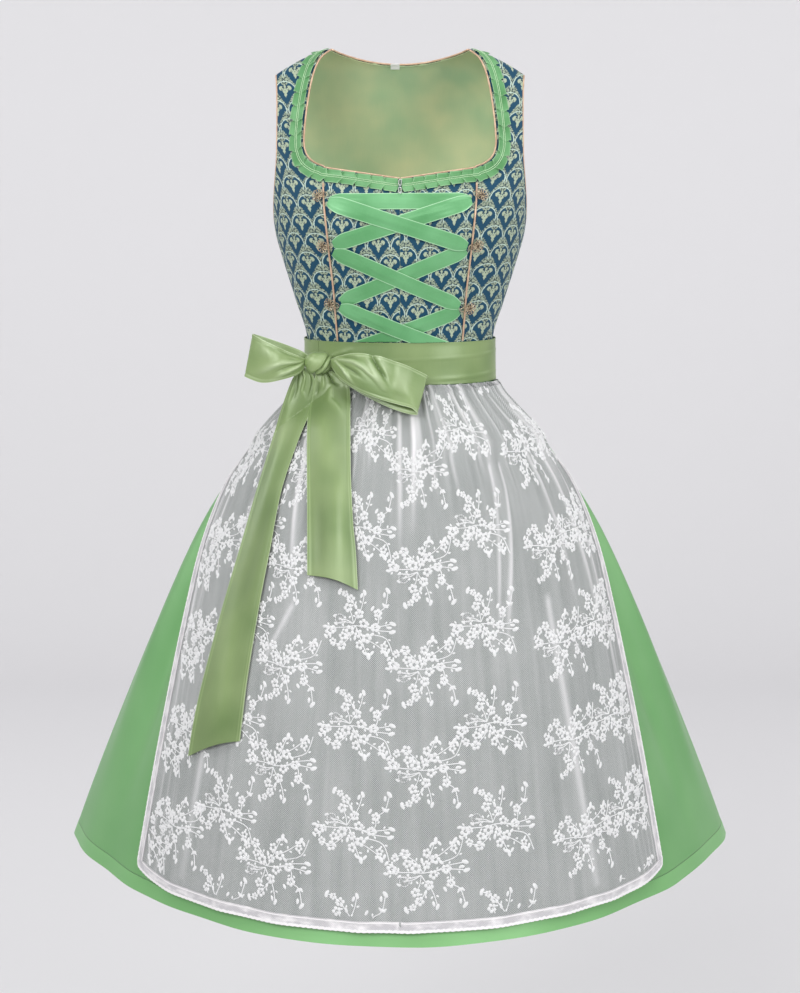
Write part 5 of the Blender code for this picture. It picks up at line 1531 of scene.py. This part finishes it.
# Loops of the bow from the knot out along the front and home along the back: top edge
# x y z, bottom edge x y z, crown.
loopRight = sized([tenth] * 7, [
    (-1136, -830, -3687, -1148, -830, -3783, 0), (-1215, -900, -3642, -1223, -910, -3859, 30),
    (-1413, -965, -3550, -1415, -990, -3917, 50), (-1618, -910, -3459, -1645, -940, -3958, 35),
    (-1754, -830, -3388, -1854, -850, -3895, 0), (-1641, -745, -3425, -1705, -765, -3945, 30),
    (-1431, -660, -3506, -1433, -680, -3917, 30), (-1203, -655, -3596, -1217, -665, -3822, 10),
    (-1093, -720, -3661, -1105, -720, -3757, 0),
])
loopLeft = sized([tenth] * 7, [
    (-822, -900, -3687, -811, -905, -3770, 0), (-700, -1010, -3630, -711, -1060, -3892, 40),
    (-508, -1090, -3597, -501, -1200, -4020, 60), (-295, -1140, -3621, -259, -1300, -4110, 50),
    (-71, -1145, -3688, -23, -1340, -4176, 40), (142, -1110, -3774, 141, -1355, -4222, 20),
    (324, -1050, -3869, 194, -1330, -4297, 0), (131, -1010, -3819, 35, -1285, -4275, 20),
    (-143, -970, -3728, -201, -1210, -4194, 20), (-452, -940, -3653, -498, -1090, -4055, 20),
    (-703, -890, -3670, -715, -950, -3915, 10), (-814, -810, -3707, -814, -815, -3772, 0),
])

# Folds of the ribbons, in tenths of a millimetre: places on the cut cloth, width on either
# side and rise, then what is left of the rise at both ends.
loopRightFolds = [
    ([(145, 126), (243, 373), (368, 567), (430, 649)], (22, 45), 21, 0.5, 0.1),
    ([(223, 98), (398, 342), (470, 465)], (40, 22), 23, 0.5, 0.2),
    ([(185, 146), (313, 332), (410, 503)], (20, 20), -12, 0.5, 0.1),
    ([(33, 152), (30, 374), (35, 547)], (40, 40), -12, 0.5, 0.2),
    ([(123, 213), (118, 302)], (20, 20), -8, 0.5, 0), ([(98, 467), (118, 626)], (70, 70), 10, 0.1, 0.3),
    ([(250, 1500), (150, 990)], (30, 30), 15, 1, 0), ([(350, 1500), (375, 1050)], (30, 30), -12, 1, 0),
]
loopLeftFolds = [
    ([(-12, 595), (113, 661), (208, 725), (300, 760)], (24, 24), -34, 0.55, 0.1),
    ([(38, 522), (140, 599), (240, 670), (343, 736)], (35, 26), 19, 0.3, 0.2),
    ([(-27, 666), (70, 725), (210, 790)], (24, 70), 15, 0.5, 0.1),
    ([(95, 201), (120, 366), (180, 507), (263, 614), (365, 702)], (22, 40), 25, 0.5, 0.2),
    ([(33, 199), (58, 366), (88, 509)], (28, 28), -19, 0.5, 0.1),
    ([(173, 203), (245, 355), (318, 492)], (30, 34), -23, 0.5, 0.1),
    ([(133, 120), (270, 255), (398, 338), (468, 411)], (22, 22), 25, 0.5, 0.1),
    ([(140, 826), (200, 1068)], (180, 180), 18, 0.1, 0.2), ([(375, 775), (430, 1029)], (60, 60), -9, 0.1, 0.1),
    ([(275, 2350), (200, 1690)], (30, 30), 14, 1, 0), ([(375, 2350), (400, 1650)], (30, 30), -12, 1, 0),
]

# Rows of each tail between its selvedges: x and z at one, x and z at the other, crown.
tailLong = sized([tenth] * 5, [
    (-1186, -3780, -1102, -3815, 0), (-1289, -3936, -1019, -3966, 30), (-1405, -4243, -1054, -4260, 60),
    (-1522, -4627, -1205, -4622, 60), (-1698, -5209, -1390, -5170, 50), (-1861, -5783, -1500, -5764, 40),
    (-2085, -6548, -1627, -6450, 30), (-2310, -7391, -1741, -7182, 20), (-2408, -7857, -1791, -7599, 10),
    (-2452, -8171, -1820, -7874, 0),
])
tailShort = sized([tenth] * 5, [
    (-1010, -3880, -827, -3830, 0), (-1038, -4026, -693, -3923, 40), (-1084, -4207, -603, -4026, 60),
    (-1100, -4475, -586, -4427, 50), (-1087, -4931, -572, -4926, 30), (-1071, -5461, -540, -5434, 20),
    (-1063, -5850, -502, -5778, 10), (-1059, -6041, -477, -6168, 0),
])
tailLongFolds = [
    ([(140, 0), (281, 375), (270, 705), (408, 933)], (22, 30), 23, 0.5, 0),
    ([(463, 206), (445, 610), (403, 918)], (22, 22), -16, 0.5, 0),
    ([(65, 250), (148, 654), (148, 962)], (30, 30), -14, 0.5, 0),
    ([(70, 580), (91, 1087)], (30, 40), 12, 0.5, 0), ([(80, 700), (260, 2200)], (90, 90), 12, 0, 0),
    ([(380, 1760), (210, 3250)], (100, 100), -10, 0, 0), ([(160, 2640), (340, 4270)], (110, 110), 14, 0, 0.3),
]
tailShortFolds = [
    ([(377, 0), (334, 356), (416, 612)], (20, 30), -27, 0.5, 0),
    ([(296, 426), (268, 728), (398, 875), (472, 953)], (22, 45), 19, 0.3, 0),
    ([(561, 54), (487, 360), (502, 643)], (22, 20), 18, 0.5, 0.1),
    ([(89, 263), (84, 612)], (22, 22), -15, 0.5, 0), ([(212, 116), (156, 538)], (24, 24), 15, 0.5, 0),
    ([(125, 830), (310, 1440)], (100, 100), 12, 0, 0), ([(390, 1200), (330, 2230)], (80, 80), 16, 0, 0.4),
    ([(150, 1390), (120, 2270)], (70, 70), -10, 0, 0.4),
]
bowPlan = {"wall": 0.0012, "tailLift": 0.0140, "tailHang": -0.0800, "selvedge": 0.045, "endCurl": 0.0045}


def coverY(x, height):
    halfWidth, inFront, _, roundX, roundY = skirtAt(np.minimum(height, -0.399))
    share = np.minimum(np.abs(x) / (halfWidth + bowPlan["tailLift"]), 1)
    cosine = share ** (1 / roundX)
    return -(inFront + bowPlan["tailLift"]) * np.sqrt(np.maximum(1 - cosine**2, 0)) ** roundY


def selvedgeRise(u):
    near = np.minimum(u, 1 - u)
    return 0.0003 * bell(near, 0.02, bowPlan["selvedge"]) - 0.00025 * bell(near, 0.09, 0.02)


# Pale line of the woven selvedges.
def selvedgeMark(u):
    near = np.minimum(u, 1 - u)
    return 0.75 * ease(1 - near / 0.022) + 0.35 * bell(near, 0.055, 0.012)


def buildRibbon(name, rows, folds, counts, cut, isTail, node, centre):
    sections = byRow(rows)
    last = len(rows) - 1

    def plain(u, v):
        row = sections(v * last)
        if isTail:
            x, height = lerp(row[0], row[2], u), lerp(row[1], row[3], u)
            y = np.minimum(coverY(x, height), bowPlan["tailHang"])
            height = height + bowPlan["endCurl"] * np.sin(math.pi * u) * v**10
            return joined(x, y - row[4] * np.sin(math.pi * u), height)
        spots = joined(lerp(row[0], row[3], u), lerp(row[1], row[4], u), lerp(row[2], row[5], u))
        spots[..., 1] -= row[6] * np.sin(math.pi * u)
        return spots

    def creased(u, v):
        return foldLines(folds, u * cut[0] / tenth, v * cut[1] / tenth)

    def surface(u, v):
        spots, normals = surfaceNormals(plain, u, v, centre, 0.012)
        return spots + normals * (creased(u, v) * tenth + selvedgeRise(u))[..., None]

    # Pale woven selvedges, painted highlight on fold crests and painted shade in fold valleys; the tails also get a
    # painted shade that darkens them all over.
    def mark(u, v):
        return selvedgeMark(u) + np.clip(creased(u, v) * 0.019 - (0.22 if isTail else 0), -0.7, 0.4)

    wall = bowPlan["wall"]
    piece = clothSheet(name, *counts, surface, -wall / 2, wall / 2, cut, [sageSatin], centre, mark)
    fit(piece, "sage_satin", node)
    return piece


def buildBow():
    right = buildRibbon(
        "bowLoop_right", loopRight, loopRightFolds, (46, 104), (0.050, 0.150), False, "bow_loop_right",
        (-0.145, -0.082, -0.368)
    )
    left = buildRibbon(
        "bowLoop_left", loopLeft, loopLeftFolds, (48, 150), (0.050, 0.235), False, "bow_loop_left",
        (-0.030, -0.106, -0.392)
    )
    long = buildRibbon(
        "bowTail_long", tailLong, tailLongFolds, (36, 200), (0.052, 0.440), True, "bow_tail_long", (0, 0, -0.6)
    )
    short = buildRibbon(
        "bowTail_short", tailShort, tailShortFolds, (36, 130), (0.051, 0.232), True, "bow_tail_short", (0, 0, -0.5)
    )


# The knot: centre, half sizes, lean of its wrap, and folds across it as place, width and
# depth.
knotPlan = {
    "centre": (-0.0975, -0.0800, -0.3735),
    "halfSizes": (0.0166, 0.0120, 0.0130),
    "lean": 0.56,
    "folds": [
        (-0.55, 0.16, 0.06), (0.05, 0.14, -0.05), (0.30, 0.05, 0.26), (0.47, 0.06, -0.07), (0.66, 0.045, 0.22),
        (0.86, 0.06, 0.06),
    ],
}


def buildKnot():
    form = bmesh.new()
    bmesh.ops.create_uvsphere(form, u_segments=72, v_segments=48, radius=1.0)
    spots = np.array([vertex.co for vertex in form.verts])
    lean = knotPlan["lean"]
    across = spots[:, 0] * math.cos(lean) - spots[:, 2] * math.sin(lean)
    along = spots[:, 0] * math.sin(lean) + spots[:, 2] * math.cos(lean)
    across = across + 0.16 * along**2 - 0.05
    dent = np.zeros(len(spots))
    for place, width, depth in knotPlan["folds"]:
        side = (across - place) / width
        dent += depth * np.where(side > 0, np.exp(-(side**2) * 0.35), np.exp(-(side**2) * 3))
    squared = signedPower(spots, 0.90)
    squared /= np.max(np.abs(squared))
    shaped = squared * (1.05 - dent)[:, None] * np.array(knotPlan["halfSizes"]) + np.array(knotPlan["centre"])
    for vertex, place in zip(form.verts, shaped):
        vertex.co = place
    bmesh.ops.recalc_face_normals(form, faces=form.faces)
    layer = form.loops.layers.uv.new("cut")
    for face in form.faces:
        for loop in face.loops:
            x, y, z = loop.vert.co
            loop[layer].uv = (x + 0.4 * y, z)
    knot = finishPiece("bowKnot", form, [sageSatin], 80)
    fit(knot, "sage_satin", "bow_knot")


buildBow()
buildKnot()
print("bow ready")

# Lace hooks: distance out, height on the wearer's left, height on the right.
hookRows = [(0.0935, -0.1760, -0.1770), (0.0885, -0.2320, -0.2325), (0.0810, -0.3070, -0.3020)]
lacingPlan = {
    "width": 0.0176,
    "wall": 0.0006,
    "lift": 0.0014,
    "layer": 0.0015,
    "round": 0.015,
    "reach": 0.0115,
    "exit": -0.3482,
    "strands": [
        ("top", (0, -1, -0.0055), (0, 1, -0.0055), 0),
        ("upper_under", (0, 1, -0.006), (1, -1, 0.002), 1),
        ("upper_over", (0, -1, -0.007), (1, 1, 0.000), 2),
        ("middle_under", (1, 1, -0.006), (2, -1, 0.003), 0),
        ("middle_over", (1, -1, -0.007), (2, 1, 0.003), 1),
        ("lower_under", (2, 1, -0.004), (-0.0290, -0.3482), 0),
        ("lower_over", (2, -1, -0.003), (0.0340, -0.3482), 2),
    ],
    "folds": [
        (0.00, 0.30, 0.30, 0.22, 0.110, 0.0004, 0.6, 0),
        (0.04, 0.66, 0.26, 0.76, 0.120, -0.0003, 0.5, 0),
        (0.30, 0.30, 0.62, 0.70, 0.200, 0.0005, 0, 0),
        (1.00, 0.30, 0.70, 0.22, 0.110, 0.0004, 0.6, 0),
        (0.96, 0.66, 0.74, 0.76, 0.120, -0.0003, 0.5, 0),
    ],
}


def laceEnd(mark):
    if len(mark) == 2:
        return np.array(mark)
    pair, side, nudge = mark
    x, leftZ, rightZ = hookRows[pair]
    return np.array((side * (x - lacingPlan["reach"]), (leftZ if side > 0 else rightZ) + nudge))


# Pale woven lips along both edges of a ribbon.
def lipMark(u, v):
    return ease((np.abs(2 * v - 1) - 0.90) / 0.07)


def buildLacing():
    for name, startMark, endMark, layer in lacingPlan["strands"]:
        start, end = laceEnd(startMark), laceEnd(endMark)
        length = float(np.linalg.norm(end - start))
        direction = (end - start) / length
        across = np.array((-direction[1], direction[0]))
        tucked = len(endMark) == 2

        def flatPlace(u, v):
            fromStart = np.clip(u * length / lacingPlan["round"], 0, 1)
            fromEnd = np.clip((1 - u) * length / lacingPlan["round"], 0, 1)
            startHalf = lerp(0.40, 1, (fromStart * (2 - fromStart)) ** 0.9)
            endHalf = 1.0 if tucked else lerp(0.40, 1, (fromEnd * (2 - fromEnd)) ** 0.9)
            half = lacingPlan["width"] / 2 * np.minimum(startHalf, endHalf)
            step = (2 * v - 1) * half
            x = start[0] + (end[0] - start[0]) * u + across[0] * step
            z = start[1] + (end[1] - start[1]) * u + across[1] * step
            if tucked:
                slide = np.where((z < lacingPlan["exit"]) | (u > 0.9999), (lacingPlan["exit"] - z) / direction[1], 0)
                x, z = x + direction[0] * slide, z + direction[1] * slide
            return x, z

        def surface(u, v):
            x, z = flatPlace(u, v)
            near = np.abs(2 * v - 1)
            lip = 0.00025 * bell(near, 0.97, 0.03) - 0.0003 * near**2
            folds = creaseRise(lacingPlan["folds"][: 3 if tucked else 5], u, v)
            lift = lacingPlan["lift"] + lacingPlan["layer"] * layer
            tip = ease(1 - u * length / 0.010) + (0 if tucked else ease(1 - (1 - u) * length / 0.010))
            rise = lift + lip + folds + 0.0008 * tip
            return frontSpot(x, z) + frontNormal(x, z) * rise[..., None]

        cut = (length, lacingPlan["width"])
        counts = (max(36, round(length * 640)), 20)
        piece = clothSheet(
            f"laceStrand_{name}", *counts, surface, 0, lacingPlan["wall"], cut, [laceRibbon], mark=lipMark
        )
        fit(piece, "green_ribbon", f"lacing_{name}")


hookPlan = {
    "lift": 0.0051,
    "wire": 0.00048,
    "petals": [
        (0.20, 0.0074, 0.0021), (0.85, 0.0079, 0.0023), (1.50, 0.0072, 0.0020), (2.15, 0.0078, 0.0022),
        (2.75, 0.0070, 0.0021), (3.40, 0.0076, 0.0022), (4.05, 0.0070, 0.0020), (4.70, 0.0078, 0.0023),
        (5.40, 0.0072, 0.0021), (5.95, 0.0066, 0.0018),
    ],
    "eyeReach": 0.0125,
    "eyeHalf": 0.0030,
}


# One hook: wire petals round a boss, small scrolls between them, and an eye for the ribbon.
def hookPaths():
    paths = []
    for turn, reach, half in hookPlan["petals"]:
        loop = np.linspace(0, math.tau, 15)
        out = 0.0012 + (reach - 0.0012) * (1 - np.cos(loop)) / 2
        side = half * np.sin(loop) * np.sin(loop / 2) * 1.15
        x = out * math.cos(turn) - side * math.sin(turn)
        y = out * math.sin(turn) + side * math.cos(turn)
        z = 0.0011 * np.sin(loop / 2) + 0.0004 * math.sin(turn * 5)
        paths.append(np.column_stack([x, y, z]))
        scroll = np.linspace(0, 4.6, 12)
        size = 0.0011 * (1 - scroll / 6.5)
        middle = turn + 0.32
        x = 0.0052 * math.cos(middle) + size * np.cos(scroll + turn)
        y = 0.0052 * math.sin(middle) + size * np.sin(scroll + turn)
        paths.append(np.column_stack([x, y, np.full(12, 0.0008)]))
    loop = np.linspace(0, math.tau, 21)
    x = 0.0078 + 0.0042 * np.cos(loop)
    paths.append(np.column_stack([x, hookPlan["eyeHalf"] * np.sin(loop), -0.0010 + 0 * loop]))
    bar = np.linspace(-1, 1, 9)
    paths.append(np.column_stack([0.0058 + 0.0010 * bar**2, 0.0026 * bar, np.full(9, 0.0003)]))
    return paths


def buildHooks():
    flatPaths = hookPaths()
    for pair, (out, leftZ, rightZ) in enumerate(hookRows):
        for name, side in (("left", 1), ("right", -1)):
            x, height = side * out, leftZ if side > 0 else rightZ
            spot = frontSpot(np.array([x]), np.array([height]))[0]
            normal = frontNormal(np.array([x]), np.array([height]))[0]
            toward = np.array((-side, 0.0, 0.0))
            toward = toward - normal * (toward @ normal)
            toward /= np.linalg.norm(toward)
            third = np.cross(normal, toward)
            turned = np.stack([toward, third, normal])
            centre = spot + normal * hookPlan["lift"]
            paths = [path @ turned + centre for path in flatPaths]
            hook = wirePiece(f"hookWires_{name}_{pair + 1}", paths, hookPlan["wire"], antiqueCopper, 1)
            fit(hook, "antique_copper", f"lace_hook_{name}_{pair + 1}")
            # A small dark boss, and under the wires a flat dark disc that is painted shade between them.
            form = bmesh.new()
            bmesh.ops.create_uvsphere(form, u_segments=14, v_segments=8, radius=0.0017)
            bmesh.ops.scale(form, vec=(1, 1, 0.7), verts=form.verts)
            basis = Matrix(np.column_stack([toward, third, normal]).tolist()).to_4x4()
            bmesh.ops.transform(form, matrix=Matrix.Translation(centre + normal * 0.0006) @ basis, verts=form.verts)
            bmesh.ops.create_uvsphere(
                form, u_segments=16, v_segments=6, radius=0.0044,
                matrix=Matrix.Translation(centre - normal * 0.0008) @ basis @ Matrix.Diagonal((1, 1, 0.14, 1))
            )
            fit(finishPiece(f"hookBossAndShadeDisc_{name}_{pair + 1}", form, [copperBossAndShadeDisc]), "antique_copper")


def buildClosure():
    for node, centreZ in (("closure_eye", -0.1600), ("closure_hook", -0.1690)):
        turn = np.linspace(0, math.tau, 33)[:-1]
        x = 0.0017 * np.cos(turn) * (1 + 0.15 * np.sin(turn))
        height = centreZ + 0.0036 * np.sin(turn)
        spots = frontSpot(np.abs(x) + seamGap, height)
        path = joined(x, spots[:, 1] - 0.0044, height)
        wire = wirePiece(f"{node}_wire", [path], 0.0005, closureMetal, 2, closed=True)
        fit(wire, "closure_metal", node)


buildLacing()
buildHooks()
buildClosure()
print("lacing ready")

studioPlan = {
    "floor": -1.62, "backWall": 4.4, "bend": 1.2, "floorShade": shade(232, 231, 233),
    "cameraPlace": (0.0, -2.46976, -0.155), "cameraTilt": 80.952, "lens": 72.508,
}


# Plain pale floor that curves up behind the dress.
def buildFloor():
    form = bmesh.new()
    bend, wall, low = studioPlan["bend"], studioPlan["backWall"], studioPlan["floor"]
    profile = [(-5.0, low), (wall - bend, low)]
    for step in range(1, 13):
        turn = math.pi / 2 * step / 12
        profile.append((wall - bend + bend * math.sin(turn), low + bend - bend * math.cos(turn)))
    profile.append((wall, 4.5))
    strip = [form.verts.new((-6, y, z)) for y, z in profile]
    edges = [form.edges.new(pair) for pair in zip(strip, strip[1:])]
    grown = bmesh.ops.extrude_edge_only(form, edges=edges)
    moved = [item for item in grown["geom"] if isinstance(item, bmesh.types.BMVert)]
    bmesh.ops.translate(form, vec=(12, 0, 0), verts=moved)
    bmesh.ops.recalc_face_normals(form, faces=form.faces)
    recipe = Recipe("studioFloor", studioPlan["floorShade"], 0.95, Specular_IOR_Level=0.05)
    grain = recipe.noise(recipe.objectPlace(), 3.0, 2)
    pale = studioPlan["floorShade"]
    recipe.feed("Base Color", recipe.mix(grain * 0.25, pale, tuple(value * 0.985 for value in pale)))
    finishPiece("studioFloor", form, [recipe.material])


def buildLights():
    lights = [
        ("keyLight", (-1.4, -2.9, 1.1), 2.0, 64),
        ("fillLight", (2.1, -2.4, 0.4), 1.6, 38),
        ("topLight", (0.2, -0.9, 2.5), 1.6, 26),
        ("wallLightLeft", (-2.8, 1.0, 1.0), 2.4, 44),
        ("wallLightRight", (2.8, 1.0, 1.0), 2.4, 44),
    ]  # name, place, size and power
    aim = Vector((0, 0, -0.45))
    for name, place, size, power in lights:
        data = bpy.data.lights.new(name, "AREA")
        data.shape = "DISK"
        data.size = size
        data.energy = power
        light = bpy.data.objects.new(name, data)
        target = Vector((0, 4.2, -0.3)) if name.startswith("wall") else aim
        light.rotation_euler = (target - Vector(place)).to_track_quat("-Z", "Y").to_euler()
        light.location = place
        bpy.context.scene.collection.objects.link(light)
    world = bpy.data.worlds.new("studioAir")
    world.use_nodes = True
    world.node_tree.nodes["Background"].inputs[0].default_value = (0.90, 0.90, 0.92, 1)
    world.node_tree.nodes["Background"].inputs[1].default_value = 0.34
    bpy.context.scene.world = world


def buildCamera():
    data = bpy.data.cameras.new("studioCamera")
    data.lens = studioPlan["lens"]
    data.sensor_width = 36
    data.clip_end = 30
    camera = bpy.data.objects.new("studioCamera", data)
    camera.location = studioPlan["cameraPlace"]
    camera.rotation_euler = (math.radians(studioPlan["cameraTilt"]), 0, 0)
    bpy.context.scene.collection.objects.link(camera)
    bpy.context.scene.camera = camera
    bpy.context.scene.view_settings.view_transform = "Standard"


buildFloor()
buildLights()
buildCamera()
print("studio ready")
